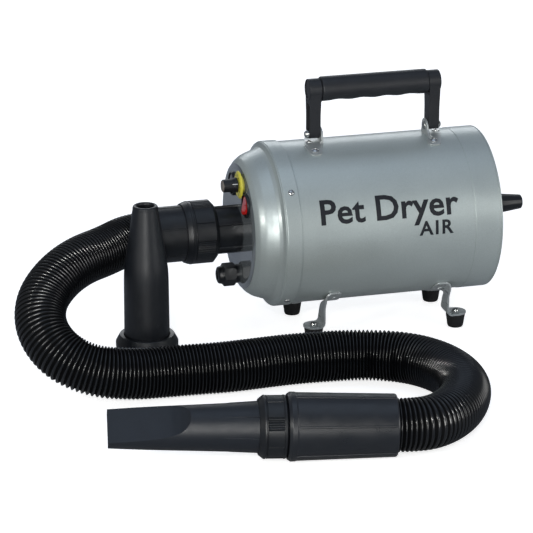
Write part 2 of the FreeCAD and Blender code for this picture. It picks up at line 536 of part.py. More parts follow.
outer = nozzle_solid(S["flat_tip_rad"], S["flat_base_rad"], S["flat_half"], 0.0, 139.0, 72.0)
neck = turned([(139.0, 0.0), (149.2, 0.0), (149.2, 23.0), (147.0, 23.0), (147.0, 26.0), (143.0, 26.0), (143.0, "flat_base_rad"), (139.0, "flat_base_rad")])
inner = nozzle_solid(S["flat_tip_rad"] - 2.0, S["flat_base_rad"] - 2.4, S["flat_half"] - 1.8, -0.01, 139.0, 72.0)
inner_neck = turned([(138.9, 0.0), (150.0, 0.0), (150.0, "flat_base_rad-2.4"), (138.9, "flat_base_rad-2.4")])
flatn = cut(fuse([outer, neck]), fuse([inner, inner_neck]))
flatn.Placement = NR
node(flatn, "flat_nozzle")
turned([("hand_nut_start", 23.85), (141.5, 23.85), (141.5, 26.6), (160.0, 26.6), (160.0, 24.6), (163.2, 24.6), (163.2, "hand_nut_rad-1.6"),
        (160.6, "hand_nut_rad"), (140.8, "hand_nut_rad"), ("hand_nut_start", "hand_nut_rad-3.6")], "handpiece_nut", placement=HP)
turned([(149.8, 21.0), (163.6, 21.0), ("sleeve_start", "hose_bore"), ("sleeve_end", "hose_bore"), ("sleeve_end", "sleeve_rear_rad-0.6"),
        ("sleeve_end-1", "sleeve_rear_rad"), ("sleeve_start+1.4", "sleeve_front_rad"), ("sleeve_start", "sleeve_front_rad-1.4"),
        ("sleeve_start", 24.2), (149.8, 24.2)], "grip_sleeve", placement=HP)

# ================================================================ spare round nozzle, standing
SP = at(S["spare_pos"], S["spare_side"], 0)
turned([(22.9, 34.0), (22.9, 30.5), (28.2, 30.5), (28.2, 0.0), ("spare_nut_rad", 0.0), ("spare_nut_rad", 30.0), ("spare_nut_rad-2.6", "spare_nut_height"),
        (24.0, "spare_nut_height")], "round_nozzle_nut", axis="V_Axis", placement=SP)
turned([(20.2, 2.0), (22.5, 2.0), (22.5, 24.0), (27.8, 24.0), (27.8, 30.0), (22.5, 30.0), ("spare_skirt-0.5", 104.0),
        (19.2, 124.0), ("spare_mouth", 165.0), ("spare_mouth-1.6", "spare_height"), ("spare_bore+0.6", "spare_height"), ("spare_bore", 165.5),
        ("spare_bore", 158.0), (16.6, 122.0), (19.6, 102.0)], "round_nozzle", axis="V_Axis", placement=SP)

# ================================================================ hose, lying from the outlet cuff to the handpiece
hend = tip + ex * S["sleeve_end"]
ROUTE = [(-230.0, 0.0, 112.3), (-253.0, 0.0, 112.3), (-282.0, -17.6, 107.2), (-313.4, -34.6, 105.0), (-340.8, -55.2, 96.4),
         (-362.2, -79.6, 81.5), (-367.6, -109.3, 63.5), (-353.6, -134.8, 44.6), (-324.4, -148.7, 31.6), (-289.3, -151.8, 26.6),
         (-257.1, -151.2, 25.2), (-225.9, -152.6, 25.2), (-195.0, -154.6, 25.2), (-163.9, -152.7, 25.2), (-132.8, -150.7, 25.2),
         (-101.6, -152.1, 25.2), (-70.5, -155.0, 25.2), (-40.3, -164.0, 25.2), (-13.9, -180.6, 25.2), (3.6, -206.2, 25.2),
         (11.6, -236.0, 25.2), (10.4, -266.7, 25.2), (-0.5, -295.2, 25.3), (-17.4, -321.2, 26.2), (-39.0, -342.0, 27.6)]
ROUTE.append(tuple(hend + ex * 23.0))
ROUTE.append(tuple(hend))


def route_wire(pts):
    """Straight runs joined by tangent arcs, each as large as its two runs allow."""
    P = [V(*p) for p in pts]
    edges, start, radii = [], P[0], []
    for i in range(1, len(P) - 1):
        a, b = (P[i] - P[i - 1]), (P[i + 1] - P[i])
        run = min(a.Length, b.Length)
        ua, ub = V(a).normalize(), V(b).normalize()
        turn = ua.getAngle(ub)
        cutback = 0.45 * run
        rad = cutback / math.tan(turn / 2.0)
        t0, t1 = P[i] - ua * cutback, P[i] + ub * cutback
        bis = (ub - ua).normalize()
        centre = P[i] + bis * (rad / math.cos(turn / 2.0))
        midp = centre - bis * rad
        edges.append(Part.LineSegment(start, t0).toShape())
        edges.append(Part.Arc(t0, midp, t1).toShape())
        start = t1
        radii.append(round(rad, 1))
    edges.append(Part.LineSegment(start, P[-1]).toShape())
    return Part.Wire(edges), radii


wire, radii = route_wire(ROUTE)
print("hose length %.1f mm, arc radii %s" % (wire.Length, radii))
first = (V(*ROUTE[1]) - V(*ROUTE[0])).normalize()
ringo = Part.Wire([Part.Circle(V(*ROUTE[0]), first, S["hose_rad"]).toShape()])
ringi = Part.Wire([Part.Circle(V(*ROUTE[0]), first, S["hose_bore"]).toShape()])
so = wire.makePipeShell([ringo], True, False)
si = wire.makePipeShell([ringi], True, False)
tube = so.cut(si)
if tube.ShapeType == "Compound" and len(tube.Solids) == 1:
    tube = tube.Solids[0]
hose = doc.addObject("Part::Feature", "Hose")
hose.Shape = tube
node(hose, "hose_tube")
want = math.pi * (S["hose_rad"] ** 2 - S["hose_bore"] ** 2) * wire.Length
print("hose volume %.0f, section times length %.0f" % (tube.Volume, want))
assert abs(tube.Volume / want - 1.0) < 0.01

# ---------------------------------------------------------------- checks and export
doc.recompute()
bad = []
for o in doc.Objects:
    if any(s in ("Invalid", "Error") for s in o.State):
        bad.append((o.Name, o.State))
for label, obj in NODES:
    sh = obj.Shape
    if sh.isNull() or not sh.isValid() or not sh.Solids:
        bad.append((label, "shape"))
assert not bad, bad
assert pat.Shape.Volume < 0.97 * pocket.BaseFeature.Shape.Volume, "guard slots"
assert len({l for l, _ in NODES}) == len(NODES)
os.makedirs("parts", exist_ok=True)
for label, obj in NODES:
    obj.Shape.exportStep(os.path.join("parts", label + ".step"))
    b = obj.Shape.BoundBox
    print("%-22s %d solids vol %9.0f  x %.1f %.1f  y %.1f %.1f  z %.1f %.1f" % (
        label, len(obj.Shape.Solids), obj.Shape.Volume, b.XMin, b.XMax, b.YMin, b.YMax, b.ZMin, b.ZMax))
print(len(NODES), "nodes")
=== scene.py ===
import json
import bpy
import bmesh
import math
from mathutils import Vector, Matrix


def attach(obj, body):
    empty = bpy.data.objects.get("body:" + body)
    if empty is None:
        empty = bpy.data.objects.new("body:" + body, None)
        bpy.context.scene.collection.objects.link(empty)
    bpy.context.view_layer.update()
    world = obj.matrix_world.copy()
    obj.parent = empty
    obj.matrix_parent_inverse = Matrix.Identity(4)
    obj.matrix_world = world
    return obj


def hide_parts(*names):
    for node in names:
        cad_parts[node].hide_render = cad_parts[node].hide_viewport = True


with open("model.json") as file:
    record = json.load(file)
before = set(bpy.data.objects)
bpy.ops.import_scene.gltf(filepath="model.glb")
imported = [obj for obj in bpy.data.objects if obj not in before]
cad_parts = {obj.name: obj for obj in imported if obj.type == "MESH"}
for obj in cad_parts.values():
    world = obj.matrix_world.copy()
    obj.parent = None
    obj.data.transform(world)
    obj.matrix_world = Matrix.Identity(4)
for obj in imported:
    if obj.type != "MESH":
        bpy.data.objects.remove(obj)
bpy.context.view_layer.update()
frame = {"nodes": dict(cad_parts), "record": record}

# Lengths below are in millimetres in the row frame and become metres when a mesh is made.
MM = 0.001
AX = 114.8
OUTZ = 112.3
X3 = (Vector((1, 0, 0)), Vector((0, 1, 0)), Vector((0, 0, 1)))
Z3 = (Vector((0, 0, 1)), Vector((1, 0, 0)), Vector((0, 1, 0)))
FACE = 160.1            # angle on an X axis lathe that faces the viewer


# ============================================================ materials
def tex_nodes(mat):
    nt = mat.node_tree
    co = nt.nodes.new("ShaderNodeTexCoord")
    return nt, co.outputs["Object"]


def noise(nt, vec, scale, detail=3.0, rough=0.55):
    n = nt.nodes.new("ShaderNodeTexNoise")
    n.inputs["Scale"].default_value = scale
    n.inputs["Detail"].default_value = detail
    n.inputs["Roughness"].default_value = rough
    nt.links.new(vec, n.inputs["Vector"])
    return n.outputs["Fac"]


def remap(nt, val, lo, hi, a=0.3, b=0.7):
    m = nt.nodes.new("ShaderNodeMapRange")
    m.inputs["From Min"].default_value = a
    m.inputs["From Max"].default_value = b
    m.inputs["To Min"].default_value = lo
    m.inputs["To Max"].default_value = hi
    nt.links.new(val, m.inputs["Value"])
    return m.outputs["Result"]


def finish_material(name, color, rough, metal=0.0, spec=0.5, coat=0.0, coat_rough=0.1, tone=0.06, tone_scale=35.0,
                    spread=0.06, spread_scale=90.0, grain=0.0, grain_scale=1500.0, fine=0.0, fine_scale=4000.0,
                    stretch=None, flake=0.0, dust=0.0, transmission=0.0, ior=1.5):
    m = bpy.data.materials.new(name)
    m.use_nodes = True
    nt, vec = tex_nodes(m)
    b = nt.nodes["Principled BSDF"]
    b.inputs["Metallic"].default_value = metal
    b.inputs["Specular IOR Level"].default_value = spec
    b.inputs["IOR"].default_value = ior
    b.inputs["Coat Weight"].default_value = coat
    b.inputs["Coat Roughness"].default_value = coat_rough
    b.inputs["Transmission Weight"].default_value = transmission
    if stretch:
        mp = nt.nodes.new("ShaderNodeMapping")
        mp.inputs["Scale"].default_value = stretch
        nt.links.new(vec, mp.inputs["Vector"])
        vec = mp.outputs["Vector"]
    # slow change of tone, with a faint second layer at a smaller size
    t = remap(nt, noise(nt, vec, tone_scale, 4.0), 1.0 - tone, 1.0 + tone)
    if flake > 0.0:
        f = remap(nt, noise(nt, vec, 2600.0, 1.0, 0.8), 1.0 - flake, 1.0 + flake)
        mul = nt.nodes.new("ShaderNodeMath")
        mul.operation = "MULTIPLY"
        nt.links.new(t, mul.inputs[0])
        nt.links.new(f, mul.inputs[1])
        t = mul.outputs[0]
    sc = nt.nodes.new("ShaderNodeVectorMath")
    sc.operation = "SCALE"
    sc.inputs[0].default_value = color
    nt.links.new(t, sc.inputs["Scale"])
    col = sc.outputs["Vector"]
    if dust > 0.0:
        # a thin pale film where the surface looks up
        geo = nt.nodes.new("ShaderNodeNewGeometry")
        sep = nt.nodes.new("ShaderNodeSeparateXYZ")
        nt.links.new(geo.outputs["Normal"], sep.inputs[0])
        up = remap(nt, sep.outputs["Z"], 0.0, dust, 0.2, 1.0)
        pat = remap(nt, noise(nt, vec, 260.0, 5.0), 0.2, 1.0)
        mu = nt.nodes.new("ShaderNodeMath")
        mu.operation = "MULTIPLY"
        nt.links.new(up, mu.inputs[0])
        nt.links.new(pat, mu.inputs[1])
        mix = nt.nodes.new("ShaderNodeMix")
        mix.data_type = "RGBA"
        nt.links.new(mu.outputs[0], mix.inputs["Factor"])
        nt.links.new(col, mix.inputs["A"])
        mix.inputs["B"].default_value = (0.32, 0.32, 0.31, 1)
        col = mix.outputs["Result"]
    nt.links.new(col, b.inputs["Base Color"])
    r = remap(nt, noise(nt, vec, spread_scale, 5.0), max(0.02, rough - spread), min(1.0, rough + spread))
    nt.links.new(r, b.inputs["Roughness"])
    if grain > 0.0 or fine > 0.0:
        last = None
        for amount, scale in ((grain, grain_scale), (fine, fine_scale)):
            if amount <= 0.0:
                continue
            bp = nt.nodes.new("ShaderNodeBump")
            bp.inputs["Strength"].default_value = amount
            bp.inputs["Distance"].default_value = 0.0002
            nt.links.new(noise(nt, vec, scale, 2.0), bp.inputs["Height"])
            if last is not None:
                nt.links.new(last, bp.inputs["Normal"])
            last = bp.outputs["Normal"]
        nt.links.new(last, b.inputs["Normal"])
    return m


SILVER = finish_material("silver_paint", (0.385, 0.432, 0.425), 0.40, metal=0.45, spec=0.5, coat=0.45, coat_rough=0.20,
                         tone=0.03, tone_scale=14.0, spread=0.05, spread_scale=30.0, grain=0.10, grain_scale=420.0,
                         fine=0.20, fine_scale=1900.0, flake=0.16)
PANEL = finish_material("panel_paint", (0.20, 0.222, 0.232), 0.13, metal=0.45, spec=0.5, coat=0.8, coat_rough=0.04,
                        tone=0.02, tone_scale=20.0, spread=0.03, grain=0.03, grain_scale=300.0, flake=0.05)
STEEL = finish_material("bracket_steel", (0.43, 0.46, 0.465), 0.33, metal=0.55, tone=0.08, tone_scale=60.0, spread=0.10,
                        spread_scale=200.0, grain=0.06, grain_scale=900.0, stretch=(1.0, 0.25, 1.0))
ZINC = finish_material("plate_zinc", (0.43, 0.455, 0.45), 0.36, metal=0.55, tone=0.06, tone_scale=80.0, spread=0.08,
                       grain=0.05, grain_scale=1200.0)
CHROME = finish_material("bright_screw", (0.44, 0.445, 0.44), 0.24, metal=0.95, tone=0.05, tone_scale=300.0, spread=0.05,
                         spread_scale=500.0, grain=0.03, grain_scale=800.0)
BLACK = finish_material("black_plastic", (0.0058, 0.0070, 0.0088), 0.38, spec=0.42, tone=0.20, tone_scale=60.0, spread=0.07,
                        spread_scale=70.0, grain=0.10, grain_scale=2400.0, dust=0.010)
SATIN = finish_material("nozzle_plastic", (0.0085, 0.0108, 0.0150), 0.42, spec=0.42, tone=0.10, tone_scale=40.0, spread=0.05,
                        spread_scale=120.0, grain=0.22, grain_scale=2800.0, fine=0.08, fine_scale=900.0)
# the same plastic as the flat nozzle with a darker base colour: painted shade on the spare nozzle
SPARE_SHADED = finish_material("nozzle_plastic_spare_shaded", (0.0053, 0.0067, 0.0093), 0.42, spec=0.42, tone=0.10, tone_scale=40.0, spread=0.05,
                        spread_scale=120.0, grain=0.22, grain_scale=2800.0, fine=0.08, fine_scale=900.0)
HANDLE = finish_material("handle_plastic", (0.0120, 0.0132, 0.0160), 0.46, spec=0.42, tone=0.12, tone_scale=50.0, spread=0.05,
                         grain=0.16, grain_scale=2200.0)
GRIP = finish_material("grip_plastic", (0.0080, 0.0096, 0.0125), 0.34, spec=0.5, tone=0.15, tone_scale=40.0, spread=0.08,
                       spread_scale=60.0, grain=0.06, grain_scale=1800.0)
HOSE = finish_material("hose_black", (0.0024, 0.0028, 0.0036), 0.20, spec=0.60, tone=0.20, tone_scale=25.0, spread=0.02,
                       spread_scale=45.0, grain=0.004, grain_scale=900.0)
RUBBER = finish_material("soft_black", (0.010, 0.010, 0.011), 0.62, spec=0.35, tone=0.2, tone_scale=120.0, spread=0.08,
                         grain=0.25, grain_scale=2600.0)
# hose valley and rib flanks: matt like the fabric between the wire crests, and darker than the crest as painted shade
# between the ribs
HOSE_VALLEY_SHADE = finish_material("hose_valley_matt_and_painted_shade", (0.0016, 0.0018, 0.0022), 0.75, spec=0.12, tone=0.25, tone_scale=90.0, spread=0.1, grain=0.3, grain_scale=2200.0)
# near-black sheet for the insides of holes: painted shade
HOLLOW_SHADE = finish_material("hollow_painted_shade", (0.004, 0.004, 0.005), 0.8, spec=0.2, tone=0.2, grain=0.1)
RED = finish_material("red_lens", (0.42, 0.008, 0.012), 0.10, spec=0.6, coat=0.7, coat_rough=0.05, tone=0.18, tone_scale=240.0,
                      spread=0.04, grain=0.02, transmission=0.35, ior=1.49)
# The faint red emission below is painted glow that brightens the lens.
RED.node_tree.nodes["Principled BSDF"].inputs["Emission Color"].default_value = (0.9, 0.03, 0.01, 1)
RED.node_tree.nodes["Principled BSDF"].inputs["Emission Strength"].default_value = 0.12
DARKLENS = finish_material("dark_lens", (0.045, 0.018, 0.026), 0.12, spec=0.5, coat=0.7, coat_rough=0.05, tone=0.2,
                           tone_scale=200.0, spread=0.04, grain=0.02)
YELLOW = finish_material("yellow_plastic", (0.62, 0.56, 0.06), 0.34, spec=0.5, coat=0.2, tone=0.05, tone_scale=160.0,
                         spread=0.06, grain=0.08, grain_scale=1800.0)
CAPGREY = finish_material("cap_grey", (0.17, 0.15, 0.135), 0.42, spec=0.5, tone=0.10, tone_scale=300.0, spread=0.06, grain=0.08)
WHITE = finish_material("mark_white", (0.72, 0.73, 0.74), 0.45, spec=0.4, tone=0.05, tone_scale=300.0, spread=0.05, grain=0.05)
INK = finish_material("print_ink", (0.010, 0.011, 0.015), 0.45, spec=0.25, tone=0.15, tone_scale=120.0, spread=0.06,
                      grain=0.08, grain_scale=2400.0)
CORE = finish_material("core_steel", (0.16, 0.15, 0.145), 0.42, metal=0.8, tone=0.12, spread=0.1, grain=0.1,
                       grain_scale=2600.0, stretch=(12.0, 1.0, 1.0))
ALLOY = finish_material("motor_alloy", (0.52, 0.53, 0.54), 0.46, metal=0.85, tone=0.06, spread=0.1, grain=0.18, grain_scale=1800.0)
COPPER = finish_material("copper", (0.62, 0.26, 0.12), 0.34, metal=0.9, tone=0.12, tone_scale=220.0, spread=0.1, grain=0.22,
                         grain_scale=1200.0, stretch=(0.2, 1.0, 1.0))
CARBON = finish_material("carbon", (0.03, 0.03, 0.032), 0.5, metal=0.2, tone=0.1, grain=0.1)
FOAM = finish_material("foam_grey", (0.10, 0.10, 0.105), 0.95, spec=0.1, tone=0.3, tone_scale=500.0, grain=0.8, grain_scale=900.0)
FILTER = finish_material("filter_foam", (0.022, 0.022, 0.023), 0.95, spec=0.1, tone=0.5, tone_scale=900.0, grain=1.0, grain_scale=700.0)
BOARD = finish_material("circuit_board", (0.03, 0.14, 0.06), 0.4, spec=0.5, coat=0.3, tone=0.25, tone_scale=350.0, grain=0.1)

SLOT_MATERIAL = {"silver_paint": SILVER, "panel_paint": PANEL, "bracket_steel": STEEL, "bright_screw": CHROME,
                 "black_plastic": BLACK, "soft_black": RUBBER, "hose_black": HOSE, "red_lens": RED, "dark_lens": DARKLENS,
                 "yellow_plastic": YELLOW, "cap_grey": CAPGREY, "core_steel": CORE, "motor_alloy": ALLOY, "copper": COPPER,
                 "carbon": CARBON, "foam_grey": FOAM, "filter_foam": FILTER, "circuit_board": BOARD}
for sub in frame["record"]["subparts"]:
    ob = frame["nodes"].get(sub["node"])
    mat = SLOT_MATERIAL.get(sub["material_slot"])
    if ob is not None and mat is not None:
        ob.data.materials.clear()
        ob.data.materials.append(mat)


# ============================================================ mesh helpers
def piece(name, bm, mat, body, bevel=0.0, seg=2, limit=28.0, sharp=42.0, reps=(), weld=1e-4, weighted=True):
    bmesh.ops.remove_doubles(bm, verts=bm.verts, dist=weld)
    bmesh.ops.dissolve_degenerate(bm, edges=bm.edges, dist=1e-5)
    bmesh.ops.recalc_face_normals(bm, faces=bm.faces)
    if bevel > 0.0:
        lim = math.radians(limit)
        edges = [e for e in bm.edges if len(e.link_faces) == 2 and e.calc_face_angle(0.0) > lim]
        bmesh.ops.bevel(bm, geom=edges, offset=bevel, offset_type="OFFSET", segments=seg, profile=0.5, affect="EDGES",
                        clamp_overlap=True)
    sh = math.radians(sharp)
    for f in bm.faces:
        f.smooth = True
    for e in bm.edges:
        e.smooth = not (len(e.link_faces) == 2 and e.calc_face_angle(0.0) > sh)
    bmesh.ops.scale(bm, vec=(MM, MM, MM), verts=bm.verts)
    me = bpy.data.meshes.new(name)
    bm.to_mesh(me)
    bm.free()
    me.materials.append(mat)
    ob = bpy.data.objects.new(name, me)
    bpy.context.scene.collection.objects.link(ob)
    if weighted:
        wn = ob.modifiers.new("weighted", "WEIGHTED_NORMAL")
        wn.keep_sharp = True
    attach(ob, body)
    if reps:
        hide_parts(*reps)
    return ob


def rounded(pts, closed=True, step=5):
    """pts: (s, r) or (s, r, fillet radius).  Corners with a radius become arcs."""
    out, n = [], len(pts)
    for i, p in enumerate(pts):
        rad = p[2] if len(p) > 2 else 0.0
        if rad <= 0.0 or (not closed and i in (0, n - 1)):
            out.append((p[0], p[1]))
            continue
        a, b = Vector(pts[i - 1][:2]), Vector(pts[(i + 1) % n][:2])
        c = Vector(p[:2])
        u, v = (a - c), (b - c)
        la, lb = u.length, v.length
        u.normalize()
        v.normalize()
        ang = u.angle(v)
        t = rad / math.tan(ang / 2.0)
        t = min(t, 0.49 * la, 0.49 * lb)
        rr = t * math.tan(ang / 2.0)
        cen = c + (u + v).normalized() * (rr / math.sin(ang / 2.0))
        p0, p1 = c + u * t, c + v * t
        a0 = math.atan2(p0.y - cen.y, p0.x - cen.x)
        a1 = math.atan2(p1.y - cen.y, p1.x - cen.x)
        d = (a1 - a0 + math.pi) % (2 * math.pi) - math.pi
        k = max(2, int(step * abs(d) / (math.pi / 2) + 0.5))
        for j in range(k + 1):
            w = a0 + d * j / k
            out.append((cen.x + rr * math.cos(w), cen.y + rr * math.sin(w)))
    return out


def lathe(bm, pts, n=96, axes=X3, origin=(0, 0, 0), mod=None, closed=True, start=0.0):
    """Adds a turned solid.  pts are (s, r) round the section, s along axes[0]."""
    ax, u, v = axes
    o = Vector(origin)
    rings = []
    for s, r in pts:
        ring = []
        for k in range(n):
            th = start + 2 * math.pi * k / n
            rr = mod(th, s, r) if (mod and r > 1e-6) else r
            ring.append(bm.verts.new(o + ax * s + (u * math.cos(th) + v * math.sin(th)) * rr))
        rings.append(ring)
    m = len(rings)
    for i in range(m if closed else m - 1):
        a, b = rings[i], rings[(i + 1) % m]
        if pts[i][1] < 1e-6 and pts[(i + 1) % m][1] < 1e-6:
            continue
        for k in range(n):
            k2 = (k + 1) % n
            bm.faces.new((a[k], a[k2], b[k2], b[k]))
    return rings


def turned(name, pts, mat, body, n=96, axes=X3, origin=(0, 0, 0), mod=None, reps=(), sharp=42.0, step=5, start=0.0):
    bm = bmesh.new()
    lathe(bm, rounded(pts, step=step), n, axes, origin, mod, start=start)
    return piece(name, bm, mat, body, reps=reps, sharp=sharp)


def prism(bm, outline, h0, h1, u, v, w, origin=(0, 0, 0)):
    """outline in (u, v), pushed along w from h0 to h1."""
    o = Vector(origin)
    u, v, w = Vector(u), Vector(v), Vector(w)
    a = [bm.verts.new(o + u * p[0] + v * p[1] + w * h0) for p in outline]
    b = [bm.verts.new(o + u * p[0] + v * p[1] + w * h1) for p in outline]
    n = len(outline)
    bm.faces.new(a)
    bm.faces.new(list(reversed(b)))
    for i in range(n):
        j = (i + 1) % n
        bm.faces.new((a[j], a[i], b[i], b[j]))


def rivet(bm, centre, normal, rad, height, n=28, pin=0.32, sink=0.6):
    """Domed rivet head with a small hollow where its stem broke off."""
    ax = Vector(normal).normalized()
    u = ax.orthogonal().normalized()
    v = ax.cross(u)
    h = height
    pts = [(-sink, 0.0), (-sink, rad), (0.35, rad), (0.75, rad * 0.97), (h * 0.55, rad * 0.80), (h * 0.82, rad * 0.58),
           (h * 0.97, rad * (pin + 0.14)), (h, rad * pin), (h * 0.80, rad * (pin - 0.05)), (h * 0.62, rad * (pin - 0.08)),
           (h * 0.66, 0.0)]
    lathe(bm, pts, n, (ax, u, v), centre, closed=False)


def grid_solid(bm, top, bottom):
    """top and bottom are equal grids of points; makes a closed shell with a rim."""
    na, nb = len(top), len(top[0])
    t = [[bm.verts.new(p) for p in row] for row in top]
    b = [[bm.verts.new(p) for p in row] for row in bottom]
    for i in range(na - 1):
        for j in range(nb - 1):
            bm.faces.new((t[i][j], t[i + 1][j], t[i + 1][j + 1], t[i][j + 1]))
            bm.faces.new((b[i][j], b[i][j + 1], b[i + 1][j + 1], b[i + 1][j]))
    for i in range(na - 1):
        bm.faces.new((t[i][0], b[i][0], b[i + 1][0], t[i + 1][0]))
        bm.faces.new((t[i][-1], t[i + 1][-1], b[i + 1][-1], b[i][-1]))
    for j in range(nb - 1):
        bm.faces.new((t[0][j], t[0][j + 1], b[0][j + 1], b[0][j]))
        bm.faces.new((t[-1][j], b[-1][j], b[-1][j + 1], t[-1][j + 1]))


def smooth01(t):
    t = max(0.0, min(1.0, t))
    return t * t * (3 - 2 * t)


# ============================================================ hose
ROUTE = [(-0.230, 0.0, 0.1123), (-0.253, 0.0, 0.1123), (-0.282, -0.0176, 0.1072), (-0.3134, -0.0346, 0.105),
         (-0.3408, -0.0552, 0.0964), (-0.3622, -0.0796, 0.0815), (-0.3676, -0.1093, 0.0635), (-0.3536, -0.1348, 0.0446),
         (-0.3244, -0.1487, 0.0316), (-0.2893, -0.1518, 0.0266), (-0.2571, -0.1512, 0.0252), (-0.2259, -0.1526, 0.0252),
         (-0.195, -0.1546, 0.0252), (-0.1639, -0.1527, 0.0252), (-0.1328, -0.1507, 0.0252), (-0.1016, -0.1521, 0.0252),
         (-0.0705, -0.155, 0.0252), (-0.0403, -0.164, 0.0252), (-0.0139, -0.1806, 0.0252), (0.0036, -0.2062, 0.0252),
         (0.0116, -0.236, 0.0252), (0.0104, -0.2667, 0.0252), (-0.0005, -0.2952, 0.0253), (-0.0174, -0.3212, 0.0262),
         (-0.039, -0.342, 0.0276)]
TIP = Vector((-345.3, -302.06, 35.9))
EX = Vector((0.9847, -0.1745, -0.0253)).normalized()
EZ = (Vector((0, 0, 1)) - EX * EX.z).normalized()
EY = EZ.cross(EX)
HEND = (TIP + EX * 264.4) * MM
ROUTE.append(tuple(HEND + EX * 0.023))
ROUTE.append(tuple(HEND))

line = bpy.data.curves.new("hose_line", "CURVE")
line.dimensions = "3D"
sp = line.splines.new("NURBS")
sp.points.add(len(ROUTE) - 1)
for pt, co in zip(sp.points, ROUTE):
    pt.co = (co[0], co[1], co[2], 1.0)
sp.order_u = 3
sp.use_endpoint_u = True
sp.resolution_u = 16
line_ob = bpy.data.objects.new("hose_line", line)
bpy.context.scene.collection.objects.link(line_ob)
bpy.context.view_layer.update()
lm = bpy.data.meshes.new_from_object(line_ob)
hose_pts = [v.co.copy() for v in lm.vertices]
bpy.data.meshes.remove(lm)
bpy.data.objects.remove(line_ob)
if (hose_pts[0] - Vector(ROUTE[0])).length > (hose_pts[-1] - Vector(ROUTE[0])).length:
    hose_pts.reverse()
acc = [0.0]
for a, b in zip(hose_pts, hose_pts[1:]):
    acc.append(acc[-1] + (b - a).length)
HOSE_LEN = acc[-1]
print("hose length", HOSE_LEN)


def along(d):
    d = max(0.0, min(HOSE_LEN, d))
    lo, hi = 0, len(acc) - 1
    while hi - lo > 1:
        mid = (lo + hi) // 2
        if acc[mid] <= d:
            lo = mid
        else:
            hi = mid
    t = (d - acc[lo]) / max(1e-9, acc[hi] - acc[lo])
    return hose_pts[lo].lerp(hose_pts[hi], t)


def pitch_at(d):
    """Rib spacing in metres: bunched where the hose leaves the cuff and on its straight run, opened out in the bends."""
    P = [(0.0, 0.0029), (0.06, 0.0031), (0.13, 0.0040), (0.20, 0.0043), (0.27, 0.0040), (0.34, 0.0035), (0.50, 0.0035), (0.58, 0.0042), (0.66, 0.0045),
         (0.76, 0.0044), (0.82, 0.0036)]
    for (a, pa), (b, pb_) in zip(P, P[1:]):
        if d <= b:
            return pa + (pb_ - pa) * (d - a) / (b - a)
    return P[-1][1]


RINGS_PER = 8
stations, d, left = [], 0.0, 0
steps = []
while d < HOSE_LEN:
    steps.append(d)
    d += pitch_at(d) / RINGS_PER
scale_d = HOSE_LEN / d
stations = [x * scale_d for x in steps] + [HOSE_LEN]
total = len(stations) - 1
bm = bmesh.new()
NA = 50
prev_u = None
shape = [(0.5 + 0.5 * math.cos(2 * math.pi * k / RINGS_PER)) ** 0.7 for k in range(RINGS_PER)]
R_OUT, R_IN = 25.05, 22.1
outer, inner = [], []
for i, d in enumerate(stations):
    p = along(d)
    t = (along(min(HOSE_LEN, d + 0.0015)) - along(max(0.0, d - 0.0015))).normalized()
    if prev_u is None:
        u = Vector((0, 0, 1)) - t * t.z
    else:
        u = prev_u - t * prev_u.dot(t)
    u.normalize()
    prev_u = u
    w = t.cross(u)
    r = R_IN + (R_OUT - R_IN) * shape[i % RINGS_PER]
    if i == 0 or i == total:
        r = R_IN
    outer.append([bm.verts.new(p / MM + (u * math.cos(2 * math.pi * k / NA) + w * math.sin(2 * math.pi * k / NA)) * r) for k in range(NA)])
    if i in (0, total) or i % 40 == 0:
        inner.append([bm.verts.new(p / MM + (u * math.cos(2 * math.pi * k / NA) + w * math.sin(2 * math.pi * k / NA)) * 21.2) for k in range(NA)])
for i, (a, b) in enumerate(zip(outer, outer[1:])):
    # faces off the rib crest take the second, darker material: painted shade on the flanks and valleys
    low = 0.5 * (shape[i % RINGS_PER] + shape[(i + 1) % RINGS_PER]) < 0.74
    for k in range(NA):
        f = bm.faces.new((a[k], b[k], b[(k + 1) % NA], a[(k + 1) % NA]))
        f.material_index = 1 if low else 0
for a, b in zip(inner, inner[1:]):
    for k in range(NA):
        bm.faces.new((a[k], a[(k + 1) % NA], b[(k + 1) % NA], b[k]))
for o_, i_ in ((outer[0], inner[0]), (outer[-1], inner[-1])):
    for k in range(NA):
        bm.faces.new((o_[k], o_[(k + 1) % NA], i_[(k + 1) % NA], i_[k]))
hose = piece("stretch_hose", bm, HOSE, "root", reps=("hose_tube",), sharp=80.0, weighted=False, weld=1e-6)
hose.data.materials.append(HOSE_VALLEY_SHADE)

# ============================================================ barrel, collar, dome and rear band
turned("barrel", [(-100.0, 81.3), (84.5, 81.3), (84.5, 82.5), (-100.0, 82.5)], SILVER, "root", n=192, origin=(0, 0, AX),
       reps=("barrel_shell",))
turned("collar_band", [(-113.0, 78.4), (-97.4, 78.4), (-97.4, 82.45), (-97.4, 83.95, 0.6), (-113.0, 84.0, 1.3), (-113.0, 80.8)],
       SILVER, "root", n=192, origin=(0, 0, AX), reps=("front_collar",))
dome_out = [(-112.9, 79.6), (-112.95, 83.1), (-113.8, 83.1, 0.45), (-114.5, 80.6, 1.0), (-116.0, 78.3, 1.6), (-119.0, 76.4, 3.0), (-124.0, 74.8, 10.0), (-131.0, 72.2, 14.0), (-136.5, 68.4, 10.0),
            (-140.4, 63.6, 8.0), (-142.2, 58.0, 6.0), (-142.2, 45.0), (-142.2, 0.0)]
dome_in = [(-140.7, 0.0), (-140.7, 56.0), (-138.6, 62.0, 6.0), (-134.6, 66.5, 8.0), (-129.3, 70.3, 10.0), (-122.6, 73.0, 10.0),
           (-112.9, 75.5)]
turned("front_dome_shell", dome_out + dome_in, SILVER, "root", n=192, origin=(0, 0, AX), reps=("front_dome",), sharp=60.0)
turned("panel_disc", [(-142.05, 0.0), (-142.05, 57.6), (-140.9, 62.0), (-140.3, 63.3), (-140.55, 63.7), (-141.35, 61.8), (-142.1, 59.4), (-142.35, 57.6), (-142.35, 0.0)], PANEL, "root", n=160, origin=(0, 0, AX))
